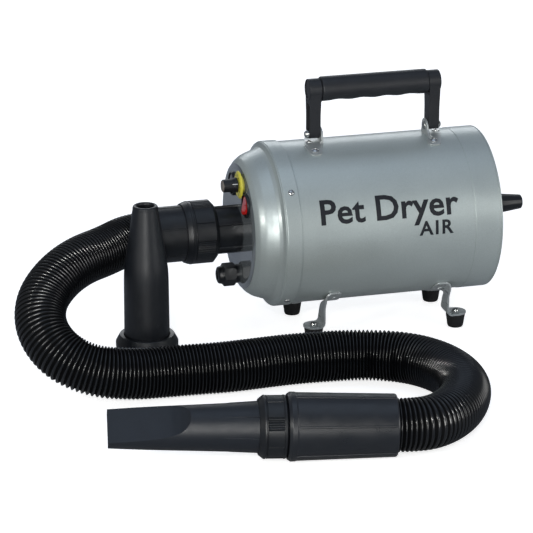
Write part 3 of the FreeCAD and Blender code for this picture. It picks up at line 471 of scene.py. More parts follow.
turned("rear_rim_band", [(84.0, 81.4), (84.0, 82.9, 0.5), (110.4, 82.9, 0.3), (110.8, 82.3, 0.2), (111.3, 82.3, 0.2), (111.6, 82.9, 0.3),
                         (113.0, 82.7, 1.0), (113.0, 79.6, 0.6), (111.0, 79.6), (111.0, 81.4)],
       SILVER, "root", n=192, origin=(0, 0, AX), reps=("rear_band",))
turned("filter_knob_cone", [(131.2, 3.1), (131.2, 9.9, 0.5), (132.8, 10.7, 0.8), (161.3, 7.3, 1.6), (162.4, 5.4, 0.8), (161.8, 4.6, 0.3),
                            (161.4, 0.0), (158.0, 0.0), (158.0, 3.1)],
       BLACK, "filter_knob", n=72, origin=(0, 0, AX), reps=("filter_knob",),
       mod=lambda th, s, r: r - (0.35 if (r > 7.0 and 138.5 < s < 163.0 and math.cos(12 * th) < -0.35) else 0.0))

# intake guard: a shallow pressed dome with curved slots
RG = [11.0, 15.5, 20.0, 25.0, 30.5, 35.5, 41.0, 46.0, 51.5, 56.5, 62.0, 67.0, 72.5, 76.0, 78.6]
NG = 192


def guard_x(r):
    return 131.0 - 0.217 * r - 0.00015 * r * r * r / 78.6 * 1.9


def guard_open(i, k):
    return i in (2, 4, 6, 8, 10) and 3 <= (k + (12 if i in (4, 8) else 0)) % 24 <= 20


bm = bmesh.new()
gv = {}


def gvert(i, k, side):
    key = (i, k % NG, side)
    if key not in gv:
        th = 2 * math.pi * (k % NG) / NG
        x = guard_x(RG[i]) - (1.3 if side else 0.0)
        gv[key] = bm.verts.new((x, RG[i] * math.cos(th), AX + RG[i] * math.sin(th)))
    return gv[key]


for i in range(len(RG) - 1):
    for k in range(NG):
        if guard_open(i, k):
            continue
        for side in (0, 1):
            q = [gvert(i, k, side), gvert(i + 1, k, side), gvert(i + 1, k + 1, side), gvert(i, k + 1, side)]
            bm.faces.new(q if side else list(reversed(q)))
        if i == 0 or guard_open(i - 1, k):
            bm.faces.new((gvert(i, k, 0), gvert(i, k + 1, 0), gvert(i, k + 1, 1), gvert(i, k, 1)))
        if i == len(RG) - 2 or guard_open(i + 1, k):
            bm.faces.new((gvert(i + 1, k, 0), gvert(i + 1, k, 1), gvert(i + 1, k + 1, 1), gvert(i + 1, k + 1, 0)))
        if guard_open(i, k - 1):
            bm.faces.new((gvert(i, k, 0), gvert(i, k, 1), gvert(i + 1, k, 1), gvert(i + 1, k, 0)))
        if guard_open(i, k + 1):
            bm.faces.new((gvert(i, k + 1, 0), gvert(i + 1, k + 1, 0), gvert(i + 1, k + 1, 1), gvert(i, k + 1, 1)))
piece("intake_guard_dome", bm, SILVER, "intake_cover", reps=("intake_guard",), bevel=0.25, limit=50.0, weighted=False)
turned("intake_guard_rim", [(110.6, 76.4), (114.0, 76.4, 0.5), (114.0, 78.9, 0.8), (110.6, 78.9)], SILVER, "intake_cover", n=160, origin=(0, 0, AX))

bm = bmesh.new()
for k in range(4):
    a = math.radians(51.5 + 90.0 * k)
    d = Vector((0, math.cos(a), math.sin(a)))
    u = d.orthogonal().normalized()
    lathe(bm, [(-0.6, 0.0), (-0.6, 3.15), (0.35, 3.15), (0.9, 2.85), (1.35, 2.3), (1.65, 1.55), (1.8, 0.8), (1.85, 0.0)], 28, (d, u, d.cross(u)),
          Vector((-104.5, 0, AX)) + d * 83.9, closed=False)
piece("collar_rivet_heads", bm, CHROME, "root", reps=("collar_rivets",))

# ============================================================ outlet spigot, nut and hose cuff
def beta(deg):
    return math.radians(FACE + deg)


def near_angle(th, target, half):
    d = (th - target + math.pi) % (2 * math.pi) - math.pi
    return abs(d) < half


def spigot_mod(th, s, r):
    return r


turned("outlet_tube", [(-180.0, 21.3), (-142.0, 21.3), (-142.0, 23.8), (-180.0, 23.8)], BLACK, "root",
       n=128, origin=(0, 0, OUTZ), reps=("outlet_spigot",))
bm = bmesh.new()
for k in range(6):
    th = beta(-10.0 + 60.0 * k)
    rad = Vector((0, math.cos(th), math.sin(th)))
    tan = Vector((0, -math.sin(th), math.cos(th)))
    outl = [(-1.3, 0.0), (1.3, 0.0), (1.0, 1.5), (0.6, 1.9), (-0.6, 1.9), (-1.0, 1.5)]
    prism(bm, outl, -167.0, -142.4, tan, rad, Vector((1, 0, 0)), Vector((0, 0, OUTZ)) + rad * 23.6)
piece("outlet_ribs", bm, BLACK, "root", bevel=0.2)


def nut_mod(zero, r_full, s0, s1, ridge=0.95, gap=0.75):
    """Grip pattern that repeats each quarter turn: fine ridges, then two smooth pads."""
    def f(th, s, r):
        if r < r_full - 0.6 or s < s0 or s > s1:
            return r
        a = math.degrees(th - zero) % 90.0
        if a < 22.0:
            ph = (a / 22.0 * 5.0) % 1.0
            return r - 0.25 - ridge * (0.5 + 0.5 * math.cos(2 * math.pi * ph)) ** 1.5
        for c in (22.6, 56.0, 89.4):
            if abs(a - c) < 0.65:
                return r - gap
        return r - 0.0
    return f


turned("outlet_union_nut",
       [(-200.5, 28.9), (-197.5, 28.9), (-197.5, 30.0), (-171.4, 30.0), (-171.4, 25.6), (-167.4, 25.6), (-167.4, 27.2, 0.5), (-171.6, 32.0, 0.6),
        (-172.0, 32.0), (-172.3, 31.95), (-190.6, 31.95), (-190.9, 32.0), (-191.3, 31.3, 0.2), (-192.4, 31.3, 0.2), (-192.8, 32.1, 0.4), (-194.6, 32.1, 0.5),
        (-195.2, 31.6, 0.3), (-196.4, 31.5), (-200.5, 29.9, 0.6)],
       BLACK, "outlet_nut", n=420, origin=(0, 0, OUTZ), reps=("outlet_nut",),
       mod=nut_mod(beta(20.7), 31.9, -190.7, -172.2))

turned("cuff", [(-230.0, 22.3), (-180.4, 22.3), (-180.4, 28.4), (-228.6, 28.4, 0.3), (-230.0, 27.4, 0.8)], BLACK, "root", n=128,
       origin=(0, 0, OUTZ), reps=("hose_cuff",),
       mod=lambda th, s, r: r + (0.12 * math.cos(36 * th) if (r > 28.0 and -226 < s < -202) else 0.0))
bm = bmesh.new()
for k in range(6):
    for off in (-1.5, 1.5):
        th = beta(-8.0 + 60.0 * k + off * 1.1)
        rad = Vector((0, math.cos(th), math.sin(th)))
        tan = Vector((0, -math.sin(th), math.cos(th)))
        prism(bm, [(-0.5, 0.0), (0.5, 0.0), (0.35, 0.6), (-0.35, 0.6)], -228.5, -200.6, tan, rad, Vector((1, 0, 0)), Vector((0, 0, OUTZ)) + rad * 28.2)
piece("cuff_ribs", bm, BLACK, "root", bevel=0.12)

# ============================================================ switches, dial and gland
RY, RZ = -37.6, 148.0
DY, DZ = 14.3, 155.7
for tag, y, z, lens in (("red", RY, RZ, RED), ("dark", DY, DZ, DARKLENS)):
    turned("switch_%s_bezel" % tag,
           [(-142.2, 10.5), (-142.2, 12.2, 0.2), (-144.2, 12.2, 0.7), (-145.2, 11.3, 0.4), (-145.0, 10.5, 0.3), (-134.0, 10.5), (-134.0, 0.0), (-133.0, 0.0),
            (-133.0, 11.3), (-142.2, 11.3)],
           BLACK, "root", n=72, origin=(0, y, z), reps=("rocker_%s_housing" % tag,))
    # the lens is a barrel-sided paddle, tilted about the cross axis, with a shallow valley across its middle
    bm = bmesh.new()
    rows = []
    NR_, NT = 14, 56
    cen = bm.verts.new((-2.7, 0, 0))
    tilt = Matrix.Rotation(math.radians(10.0), 3, "Y")
    for i in range(1, NR_ + 1):
        rr = 8.95 * i / NR_
        ring = []
        for k in range(NT):
            a = 2 * math.pi * k / NT
            py, pz = rr * math.cos(a), rr * math.sin(a)
            px = -2.9 - 1.5 * min(1.0, abs(pz) / 9.0) ** 1.4 + 0.5 * (rr / 8.95) ** 6
            ring.append(bm.verts.new((px, py, pz)))
        rows.append(ring)
    side = [bm.verts.new((-1.2, 8.95 * math.cos(2 * math.pi * k / NT), 8.95 * math.sin(2 * math.pi * k / NT))) for k in range(NT)]
    low = [bm.verts.new((3.0, 7.2 * math.cos(2 * math.pi * k / NT), 7.2 * math.sin(2 * math.pi * k / NT))) for k in range(NT)]
    rows += [side, low]
    for k in range(NT):
        bm.faces.new((cen, rows[0][(k + 1) % NT], rows[0][k]))
    for a, b in zip(rows, rows[1:]):
        for k in range(NT):
            bm.faces.new((a[k], a[(k + 1) % NT], b[(k + 1) % NT], b[k]))
    bm.faces.new(low)
    for vv in bm.verts:
        vv.co = tilt @ vv.co + Vector((-142.0, y, z))
    piece("switch_%s_lens" % tag, bm, lens, {"red": "main_switch", "dark": "second_switch"}[tag], sharp=50.0,
          reps=("rocker_%s_button" % tag,))

KY, KZ = -18.0, 164.3
turned("dial_disc", [(-142.2, 4.1), (-146.7, 4.1), (-147.0, 4.6, 0.2), (-147.0, 11.6, 0.4), (-146.5, 12.9, 0.5), (-145.7, 14.0, 0.5), (-144.8, 14.0, 0.4),
                     (-144.4, 12.8, 0.4), (-144.3, 9.0), (-142.2, 9.0)],
       YELLOW, "root", n=96, origin=(0, KY, KZ), reps=("dial_plate",))
bm = bmesh.new()
for k in range(11):
    th = math.radians(-60 + 30.0 * k)
    rad = Vector((0, math.cos(th), math.sin(th)))
    tan = Vector((0, -math.sin(th), math.cos(th)))
    prism(bm, [(-0.22, 8.6), (0.22, 8.6), (0.22, 10.6 if k % 5 else 11.2), (-0.22, 10.6 if k % 5 else 11.2)], -147.12, -146.9, tan, rad, Vector((1, 0, 0)), Vector((0, KY, KZ)))
piece("dial_ticks", bm, INK, "root")
turned("knob_body", [(-147.6, 3.0), (-160.0, 3.0), (-160.0, 0.0), (-161.8, 0.0), (-161.8, 5.8), (-162.1, 6.3, 0.2), (-161.4, 6.5, 0.3), (-151.8, 6.6, 1.2),
                     (-150.6, 7.5, 0.5), (-147.6, 7.5, 0.3)],
       BLACK, "speed_knob", n=144, origin=(0, KY, KZ), reps=("speed_knob",),
       mod=lambda th, s, r: r - (0.28 * (0.5 + 0.5 * math.cos(24 * th)) if (6.2 < r < 6.9 and -161.3 < s < -152.0) else 0.0))
turned("knob_cap", [(-161.9, 0.0), (-161.9, 5.7), (-162.7, 5.7, 0.4), (-163.0, 4.9, 0.3), (-163.0, 0.0)], CAPGREY, "speed_knob", n=72,
       origin=(0, KY, KZ), reps=("speed_knob_cap",))
bm = bmesh.new()
th = beta(-4.0)
rad = Vector((0, math.cos(th), math.sin(th)))
tan = Vector((0, -math.sin(th), math.cos(th)))
prism(bm, [(-0.25, 6.4), (0.25, 6.4), (0.25, 7.6), (-0.25, 7.6)], -153.6, -148.0, tan, rad, Vector((1, 0, 0)), Vector((0, KY, KZ)))
piece("knob_line", bm, WHITE, "speed_knob", bevel=0.06)

GY, GZ = 0.7, 63.8
turned("gland_neck", [(-134.2, 6.0), (-150.0, 6.0), (-150.0, 8.0), (-145.7, 8.0), (-145.7, 9.6, 0.3), (-142.2, 9.6, 0.2), (-142.2, 8.0), (-134.2, 8.0)],
       BLACK, "root", n=72, origin=(0, GY, GZ), reps=("gland_body",),
       mod=lambda th, s, r: r - (0.25 if (r > 9.0 and math.cos(6 * th) < -0.93) else 0.0))
bm = bmesh.new()
hexr = 10.5
ang0 = math.radians(30.0)


def hex_mod(th, s, r):
    a = (th - math.radians(10.0)) % (math.pi / 3) - math.pi / 6
    return min(r, hexr / math.cos(a))


bm = bmesh.new()
lathe(bm, rounded([(-146.0, 8.1), (-150.2, 8.1), (-150.2, 6.2), (-160.2, 6.2), (-160.2, 4.8), (-163.6, 4.8), (-163.7, 6.3, 0.9), (-162.6, 8.6, 1.2),
                   (-158.7, 9.4, 0.4), (-158.4, 10.2), (-157.5, 12.0), (-146.7, 12.0), (-145.8, 11.0)], step=6), 144, X3, (0, GY, GZ), hex_mod)
piece("gland_hex_nut", bm, BLACK, "root", reps=("gland_nut",), sharp=24.0)

# ============================================================ carry handle
ZP, ZG = 205.8, 252.2
turned("handle_grip", [(-56.0, 8.1), (56.0, 8.1), (56.0, 12.4, 1.6), (52.0, 12.5), (47.0, 12.5), (42.0, 12.5), (37.0, 12.5), (33.0, 12.5), (29.0, 12.5), (25.0, 12.5),
                       (21.0, 12.5), (17.0, 12.5), (13.0, 12.5), (9.0, 12.5), (5.0, 12.5), (1.0, 12.5), (-3.0, 12.5), (-7.0, 12.5), (-11.0, 12.5),
                       (-15.0, 12.5), (-19.0, 12.5), (-23.0, 12.5), (-27.0, 12.5), (-31.0, 12.5), (-35.0, 12.5), (-39.0, 12.5), (-43.0, 12.5),
                       (-47.0, 12.5), (-52.0, 12.5), (-56.0, 12.4, 1.6)],
       HANDLE, "handle", n=96, origin=(0, 0, ZG), reps=("handle_sleeve",),
       mod=lambda th, s, r: r - (1.1 * max(0.0, -math.sin(th)) ** 1.5 * (0.5 - 0.5 * math.cos(2 * math.pi * (s + 50.0) / 25.0)) if (r > 12.0 and abs(s) < 50.0) else 0.0))
for sx in (-1, 1):
    bm = bmesh.new()
    hy = 7.8
    zt = ZG - math.sqrt(121.0 - hy * hy)
    ab = math.radians(196.0)
    outl = [(-4.5, ZP - 3.5), (-hy, ZP + 2.5), (-hy, 226.0), (10.8 * math.cos(ab), ZG + 10.8 * math.sin(ab))]
    a0 = ab
    a1 = math.radians(-16.0)
    inn = [(-3.0, ZP + 0.2), (-5.6, ZP + 3.6), (-5.6, 226.0), (-5.6, 236.0)]
    K = 26
    a_start, a_end = a0 % (2 * math.pi), a1 % (2 * math.pi)
    span = -(a_start - (a_end - 2 * math.pi))
    for k in range(1, K):
        w = a_start + span * k / K
        outl.append((10.8 * math.cos(w), ZG + 10.8 * math.sin(w)))
        inn.append((-5.6 + 11.2 * k / K, 236.0 + 1.2 * math.sin(math.pi * k / K)))
    outl += [(-10.8 * math.cos(ab), ZG + 10.8 * math.sin(ab)), (hy, 226.0), (hy, ZP + 2.5), (4.5, ZP - 3.5)]
    inn += [(5.6, 236.0), (5.6, 226.0), (5.6, ZP + 3.6), (3.0, ZP + 0.2)]
    n = len(outl)
    X_IN, X_OUT, X_FLOOR = 57.2 * sx, 68.4 * sx, 60.4 * sx
    A = [bm.verts.new((X_IN, p[0], p[1])) for p in outl]
    B = [bm.verts.new((X_OUT, p[0], p[1])) for p in outl]
    C = [bm.verts.new((X_OUT, p[0], p[1])) for p in inn]
    D = [bm.verts.new((X_FLOOR, p[0], p[1])) for p in inn]
    bm.faces.new(A)
    bm.faces.new(D)
    for i in range(n):
        j = (i + 1) % n
        bm.faces.new((A[i], A[j], B[j], B[i]))
        bm.faces.new((B[i], B[j], C[j], C[i]))
        bm.faces.new((C[i], C[j], D[j], D[i]))
    piece("handle_leg_%s" % ("front" if sx < 0 else "rear"), bm, HANDLE, "handle", bevel=0.45, seg=3, limit=35.0,
          reps=("handle_frame",) if sx < 0 else ())
    turned("handle_boss_%s" % ("front" if sx < 0 else "rear"),
           [(56.2, 8.2), (56.2, 10.9, 0.8), (69.2, 10.9, 1.4), (69.2, 9.2, 0.4), (61.0, 8.9, 0.4), (60.6, 0.0), (58.4, 0.0), (58.4, 8.2)],
           HANDLE, "handle", n=72, origin=(0, 0, ZG), axes=(Vector((sx, 0, 0)), Vector((0, 1, 0)), Vector((0, 0, 1))))
    # a near-black liner and floor inside the boss bore, darker than the handle plastic: painted shade in the hole
    turned("handle_bore_shade_%s" % ("front" if sx < 0 else "rear"), [(60.7, 0.0), (61.2, 0.0), (61.2, 8.7), (68.6, 9.0), (68.6, 9.15), (60.7, 9.0)],
           HOLLOW_SHADE, "handle", n=48, origin=(0, 0, ZG), axes=(Vector((sx, 0, 0)), Vector((0, 1, 0)), Vector((0, 0, 1))))
    # small web in the corner between the leg and the grip
    bm = bmesh.new()
    web = [(0.0, 0.0), (6.0, 0.0)] + [(6.0 - 6.0 * math.sin(w), -6.0 + 6.0 * math.cos(w)) for w in [math.radians(10 + 10 * q) for q in range(8)]] + [(0.0, -6.0)]
    prism(bm, [(-p[0], p[1]) for p in web], -5.5, 5.5, Vector((sx, 0, 0)), Vector((0, 0, 1)), Vector((0, 1, 0)), Vector((57.6 * sx, 0, ZG - 10.2)))
    piece("handle_web_%s" % ("front" if sx < 0 else "rear"), bm, HANDLE, "handle", bevel=0.5, limit=40.0)

core = None
turned("handle_core", [(-58.2, 0.0), (58.2, 0.0), (58.2, 7.95), (-58.2, 7.95)], HANDLE, "handle", n=48, origin=(0, 0, ZG))


# ------------------------------------------------------------ handle brackets
def bracket(sx):
    """Stamped plate over the barrel with an ear folded up from one edge.  Built on +X and turned half a turn for -X."""
    bm = bmesh.new()
    outline = rounded([(55.4, 9.8, 3.0), (59.8, 19.0, 4.0), (61.2, 30.8, 4.6), (73.4, 30.8, 4.6), (76.0, 14.0, 6.0), (70.5, -6.0, 9.0),
                       (66.0, -20.0, 5.0), (63.6, -29.6, 4.6), (51.2, -29.6, 4.6), (50.9, -20.0, 3.0), (55.4, -17.0, 3.0)], step=5)
    vs = [bm.verts.new((p[0], p[1], 0.0)) for p in outline]
    bm.faces.new(vs)
    for k in range(-16, 17):
        y = k * 2.1
        geom = bm.verts[:] + bm.edges[:] + bm.faces[:]
        bmesh.ops.bisect_plane(bm, geom=geom, plane_co=(0, y, 0), plane_no=(0, 1, 0))
    ret = bmesh.ops.extrude_face_region(bm, geom=bm.faces[:])
    up = {v for v in ret["geom"] if isinstance(v, bmesh.types.BMVert)}
    for v in bm.verts:
        phi = v.co.y / 83.0
        r = 83.95 if v in up else 82.52
        v.co = Vector((v.co.x, r * math.sin(phi), AX + r * math.cos(phi)))
    # ear with rounded top
    ear = [(-17.0, 192.0), (-17.0, 197.2), (-13.0, 199.4)]
    for q in range(0, 13):
        w = math.radians(188 - 15.67 * q)
        ear.append((8.6 * math.cos(w), ZP - 1.6 + 8.6 * math.sin(w)))
    ear += [(9.0, 196.0), (9.4, 192.0)]
    prism(bm, ear, 54.95, 56.75, Vector((0, 1, 0)), Vector((0, 0, 1)), Vector((1, 0, 0)))
    # fold between the ear and the plate
    top, bot = [], []
    for k in range(17):
        y = -16.5 + 25.6 * k / 16
        zc = AX + math.sqrt(83.9 ** 2 - y * y)
        row = []
        for q in range(6):
            w = math.radians(90.0 * q / 5)
            row.append(Vector((56.6 + 3.0 - 3.0 * math.cos(w), y, zc + 3.0 - 3.0 * math.sin(w))))
        top.append(row)
        bot.append([Vector((55.2 + (p.x - 56.6) * 0.9, y, min(p.z, zc) - 0.7 - (0.0))) for p in row])
    grid_solid(bm, top, bot)
    if sx < 0:
        for v in bm.verts:
            v.co = Vector((-v.co.x, -v.co.y, v.co.z))
    return bm


for sx in (-1, 1):
    piece("handle_bracket_%s" % ("front" if sx < 0 else "rear"), bracket(sx), ZINC, "root", bevel=0.35, seg=3, limit=50.0, sharp=50.0,
          reps=("handle_brackets",) if sx < 0 else ())
bm = bmesh.new()
for sx in (-1, 1):
    for off, phi in ((67.6, 90 + sx * 16.3), (58.2, 90 - sx * 15.2), (67.8, 90 + sx * 1.5)):
        a = math.radians(phi)
        d = Vector((0, -math.cos(a), math.sin(a)))
        rivet(bm, Vector((sx * off, 0, AX)) + d * 83.8, d, 3.9, 1.1 if off == 67.8 else 2.1)
piece("bracket_rivet_heads", bm, CHROME, "root", reps=("bracket_rivets",))
bm = bmesh.new()
for sx in (-1, 1):
    ax = (Vector((sx, 0, 0)), Vector((0, 1, 0)), Vector((0, 0, 1)))
    # domed nut on the outside of the leg, pan head on the inside of the ear
    lathe(bm, rounded([(60.4, 0.0), (60.4, 4.6), (66.5, 4.6), (69.6, 4.3, 0.8), (71.9, 2.6, 1.2), (72.3, 0.0)]), 32, ax, (0, 0, ZP), closed=False)
    lathe(bm, rounded([(54.9, 0.0), (54.9, 4.3, 0.2), (54.1, 4.1, 0.5), (53.3, 2.8, 0.8), (53.0, 1.2), (53.3, 0.9), (53.3, 0.0)]), 32, ax, (0, 0, ZP), closed=False)
    lathe(bm, rounded([(56.6, 0.0), (56.6, 2.5), (60.6, 2.5), (60.6, 0.0)]), 24, ax, (0, 0, ZP), closed=False)
piece("handle_bolt_heads", bm, CHROME, "root", reps=("handle_bolts",))


# ============================================================ legs, feet and their screws
def leg_strip(xf, foot_x, sx, sy):
    """Bent strip: tab under the barrel, bend, upright, bend, round-ended sole."""
    NV = 17
    rows = []
    for j in range(NV):
        t = j / (NV - 1.0)                      # 0 at the near edge, 1 at the far edge
        phi = math.radians(43.5 - 16.5 * t)
        yc, zc = -83.6 * math.sin(phi), AX - 83.6 * math.cos(phi)
        yb = -50.8 + 21.6 * t
        col = []
        # tab, slightly rounded at its end corners
        edge = abs(t - 0.5) * 2.0
        x_end = xf + 16.5 - 2.6 * max(0.0, (edge - 0.62) / 0.38) ** 2
        for q in range(7):
            col.append(Vector((x_end + (xf + 6.0 - x_end) * q / 6.0, yc, zc)))
        # bend of radius 6 down to the upright
        dn = Vector((0, yb - yc, 20.0 - zc))
        dn.normalize()
        for q in range(1, 8):
            w = math.radians(90.0 * q / 7)
            c = Vector((xf + 6.0, yc, zc)) + dn * 6.0
            col.append(c - dn * 6.0 * math.cos(w) + Vector((-6.0 * math.sin(w), 0, 0)))
        start = col[-1]
        z0 = start.z
        for q in range(1, 13):
            s = q / 12.0
            z = z0 + (20.3 - z0) * s
            y = start.y + (yb - start.y) * ((1 - t) * smooth01(s * 2.0) + t * s ** 0.8)
            col.append(Vector((xf, y, z)))
        for q in range(1, 7):
            w = math.radians(90.0 * q / 6)
            col.append(Vector((xf - 4.9 * (1 - math.cos(w)), yb, 15.3 + 4.9 * (1 - math.sin(w)))))
        yy = yb + 40.0
        x_tip = foot_x - math.sqrt(max(0.0, 10.85 ** 2 - yy * yy))
        x_now = xf - 4.9
        for q in range(1, 11):
            col.append(Vector((x_now + (x_tip - x_now) * q / 10.0, yb, 15.3)))
        rows.append(col)
    nu = len(rows[0])
    top, bot = [], []
    for j in range(NV):
        ta, tb = [], []
        for i in range(nu):
            du = rows[j][min(nu - 1, i + 1)] - rows[j][max(0, i - 1)]
            dv = rows[min(NV - 1, j + 1)][i] - rows[max(0, j - 1)][i]
            nrm = du.cross(dv)
            if nrm.length < 1e-9:
                nrm = Vector((0, 0, 1))
            nrm.normalize()
            ta.append(rows[j][i] + nrm * 0.95)
            tb.append(rows[j][i] - nrm * 0.95)
        top.append(ta)
        bot.append(tb)
    bm = bmesh.new()
    grid_solid(bm, top, bot)
    for v in bm.verts:
        x, y = v.co.x, v.co.y
        if sx > 0:
            x = -x
        if sy > 0:
            y = -y
        v.co.x, v.co.y = x, y
    return bm


first = True
for sx, xf, fx in ((-1, -64.5, -73.0), (1, 67.5, 79.0)):
    for sy in (-1, 1):
        tag = ("front" if sx < 0 else "rear") + ("_near" if sy < 0 else "_far")
        b_ = leg_strip(-abs(xf), -abs(fx), sx, sy)
        piece("leg_" + tag, b_, STEEL, "root", bevel=0.35, seg=3, limit=50.0, sharp=60.0,
              reps=("leg_brackets",) if first else ())
        yc = sy * 40.0
        # tapered rubber foot with a rounded toe
        turned("foot_" + tag, [(0.0, 0.0), (0.0, 7.6, 0.9), (2.2, 8.3, 0.6), (13.2, 9.9, 0.6), (14.3, 9.7, 0.4), (14.3, 0.0)], RUBBER, "root", n=64,
               axes=Z3, origin=(fx, yc, 0), reps=("rubber_feet",) if first else ())
        bm = bmesh.new()
        hp = rounded([(16.1, 0.0), (16.1, 3.9, 0.2), (16.9, 4.0, 0.4), (18.4, 3.4, 0.9), (18.9, 1.6, 0.5), (18.9, 0.0)], closed=False)
        lathe(bm, hp, 40, Z3, (fx, yc, 0), closed=False)
        bmesh.ops.holes_fill(bm, edges=bm.edges)
        piece("foot_screw_" + tag, bm, CHROME, "root", reps=("foot_screws",) if first else ())
        first = False
bm = bmesh.new()
for sx, xf in ((-1, -64.5), (1, 67.5)):
    for sy in (-1, 1):
        a = math.radians(270 + sy * 35.0)
        d = Vector((0, math.cos(a), math.sin(a)))
        rivet(bm, Vector((xf - sx * 9.5, 0, AX)) + d * 84.2, d, 3.0, 0.55)
piece("leg_rivet_heads", bm, STEEL, "root", reps=("leg_rivets",))

# ============================================================ handpiece: sleeve, nut and flat nozzle
H3 = (EX, EY, EZ)
turned("grip_tube", [(149.8, 21.2), (163.6, 21.2), (164.0, 22.3), (264.4, 22.3), (264.4, 28.5, 0.7), (263.0, 29.1, 0.4), (172.0, 31.4, 0.3),
                     (170.6, 31.9, 0.4), (166.4, 32.0, 0.8), (163.6, 30.2, 0.6), (163.6, 24.2), (149.8, 24.2)],
       GRIP, "root", n=160, axes=H3, origin=TIP, reps=("grip_sleeve",))
bm = bmesh.new()
for k in range(6):
    th = beta(0.0 + 60.0 * k)
    rad = EY * math.cos(th) + EZ * math.sin(th)
    tan = EZ * math.cos(th) - EY * math.sin(th)
    a = TIP + EX * 171.5
    b = TIP + EX * 262.5
    ra, rb = 31.25, 28.95
    vs = []
    for base, r in ((a, ra), (b, rb)):
        vs.append([bm.verts.new(base + rad * (r + h) + tan * w) for w, h in ((-1.2, 0.0), (1.2, 0.0), (0.8, 0.75), (-0.8, 0.75))])
    bm.faces.new(vs[0])
    bm.faces.new(list(reversed(vs[1])))
    for i in range(4):
        j = (i + 1) % 4
        bm.faces.new((vs[0][j], vs[0][i], vs[1][i], vs[1][j]))
piece("grip_tube_ribs", bm, GRIP, "root", bevel=0.18)

turned("handpiece_union_nut",
       [(137.0, 23.9), (141.5, 23.9), (141.5, 26.4), (160.0, 26.4), (160.0, 24.8), (163.2, 24.8), (163.2, 27.9, 0.4), (161.6, 29.4, 0.5), (160.2, 29.45, 0.3),
        (159.8, 28.9, 0.2), (159.3, 28.9, 0.15), (159.0, 29.3), (144.8, 29.3), (144.5, 29.4), (144.2, 28.7, 0.2), (143.5, 28.7, 0.2), (143.1, 29.45, 0.3),
        (141.6, 29.3, 0.7), (137.0, 25.7, 0.7)],
       BLACK, "handpiece_nut", n=420, axes=H3, origin=TIP, reps=("handpiece_nut",),
       mod=nut_mod(beta(-18.0), 29.25, 144.7, 159.1, ridge=0.8, gap=0.6))

ROLL = math.radians(-52.0)
ca, sa = math.cos(ROLL), math.sin(ROLL)
NY = EY * ca + EZ * sa
NZ = EZ * ca - EY * sa


def scoop(t):
    """Half thickness between the two flats, at t from the tip."""
    P = [(0.0, 4.8), (20.0, 6.9), (45.0, 10.0), (58.0, 12.6), (66.0, 15.3), (71.5, 18.2), (74.5, 20.4), (76.5, 22.6), (80.0, 30.0)]
    for (a, ha), (b, hb) in zip(P, P[1:]):
        if t <= b:
            return ha + (hb - ha) * (t - a) / (b - a)
    return 60.0


def flattened(bm, r_tip, r_base, s1):
    """Tapered round bar pressed flat on two sides; the flats end in a rounded scoop."""
    S = [0.0, 0.6, 3.0, 7.0, 12.0, 18.0, 24.0, 30.0, 36.0, 42.0, 47.0, 51.0, 54.5, 57.5, 60.0, 62.0, 64.0, 65.8, 67.4, 68.9, 70.3, 71.5, 72.6, 73.5,
         74.3, 75.0, 75.6, 76.1, 76.6, 78.0, 84.0, 95.0, 110.0, 125.0, 136.0, s1]
    NA_, NF = 40, 26
    rings = []
    for s in S:
        r = r_tip + (r_base - r_tip) * s / s1
        c = min(scoop(s) / r, 0.9996)
        al = math.acos(c)                        # half angle that a flat takes up
        ring = []
        for sgn in (1, -1):
            for q in range(NF):
                t = -1.0 + 2.0 * q / NF
                ring.append((sgn * r * c, -sgn * t * r * math.sin(al)) if c < 0.9995 else (sgn * r * math.cos(al * t), -sgn * r * math.sin(al * t)))
            for q in range(NA_):
                w = al + (math.pi - 2 * al) * q / NA_
                ring.append((sgn * r * math.cos(w), -sgn * r * math.sin(w)))
        rings.append([bm.verts.new(Vector((s, p[0], p[1]))) for p in ring])
    n = len(rings[0])
    for a, b in zip(rings, rings[1:]):
        for k in range(n):
            bm.faces.new((a[k], b[k], b[(k + 1) % n], a[(k + 1) % n]))
    bm.faces.new(rings[0])
    bm.faces.new(list(reversed(rings[-1])))


bm = bmesh.new()
flattened(bm, 18.4, 23.4, 143.0)
bmesh.ops.recalc_face_normals(bm, faces=bm.faces)
# the slot: the end face is inset by the wall and pushed back inside
tipf = [f for f in bm.faces if f.normal.x < -0.99 and f.calc_center_median().x < 0.5]
bmesh.ops.inset_region(bm, faces=tipf, thickness=1.9, depth=0.0, use_even_offset=True)
ret = bmesh.ops.extrude_face_region(bm, geom=tipf)
moved = [v for v in ret["geom"] if isinstance(v, bmesh.types.BMVert)]
bmesh.ops.delete(bm, geom=tipf, context="FACES")
for v in moved:
    v.co.x += 30.0
    v.co.y *= 1.5
for f in bm.faces:
    f.smooth = True
M = Matrix((EX, NY, NZ)).transposed()
for v in bm.verts:
    v.co = TIP + M @ v.co
piece("nozzle_flat", bm, SATIN, "flat_nozzle", bevel=0.45, seg=3, limit=9.0, sharp=50.0, reps=("flat_nozzle",))
bm = bmesh.new()
for k in range(6):
    th = beta(-26.0 + 52.0 * (k % 2) + 120.0 * (k // 2) if k < 2 else (-26.0 + 52.0 * (k % 2) + 120.0 * (k // 2)))
    rad = EY * math.cos(th) + EZ * math.sin(th)
    # ribs start where the tube is round and rise towards the nut
    tan = EZ * math.cos(th) - EY * math.sin(th)
    vs = []
    for s, h in ((96.0 if k < 2 else 104.0, -0.25), (112.0, 0.35), (137.6, 0.75)):
        r = 18.2 + 5.2 * s / 143.0
        vs.append([bm.verts.new(TIP + EX * s + rad * (r + hh) + tan * w) for w, hh in ((-0.9, -0.5), (0.9, -0.5), (0.45, h), (-0.45, h))])
    bm.faces.new(vs[0])
    bm.faces.new(list(reversed(vs[-1])))
    for a, b in zip(vs, vs[1:]):
        for i in range(4):
            j = (i + 1) % 4
            bm.faces.new((a[j], a[i], b[i], b[j]))
piece("nozzle_flat_ribs", bm, SATIN, "flat_nozzle", bevel=0.15)
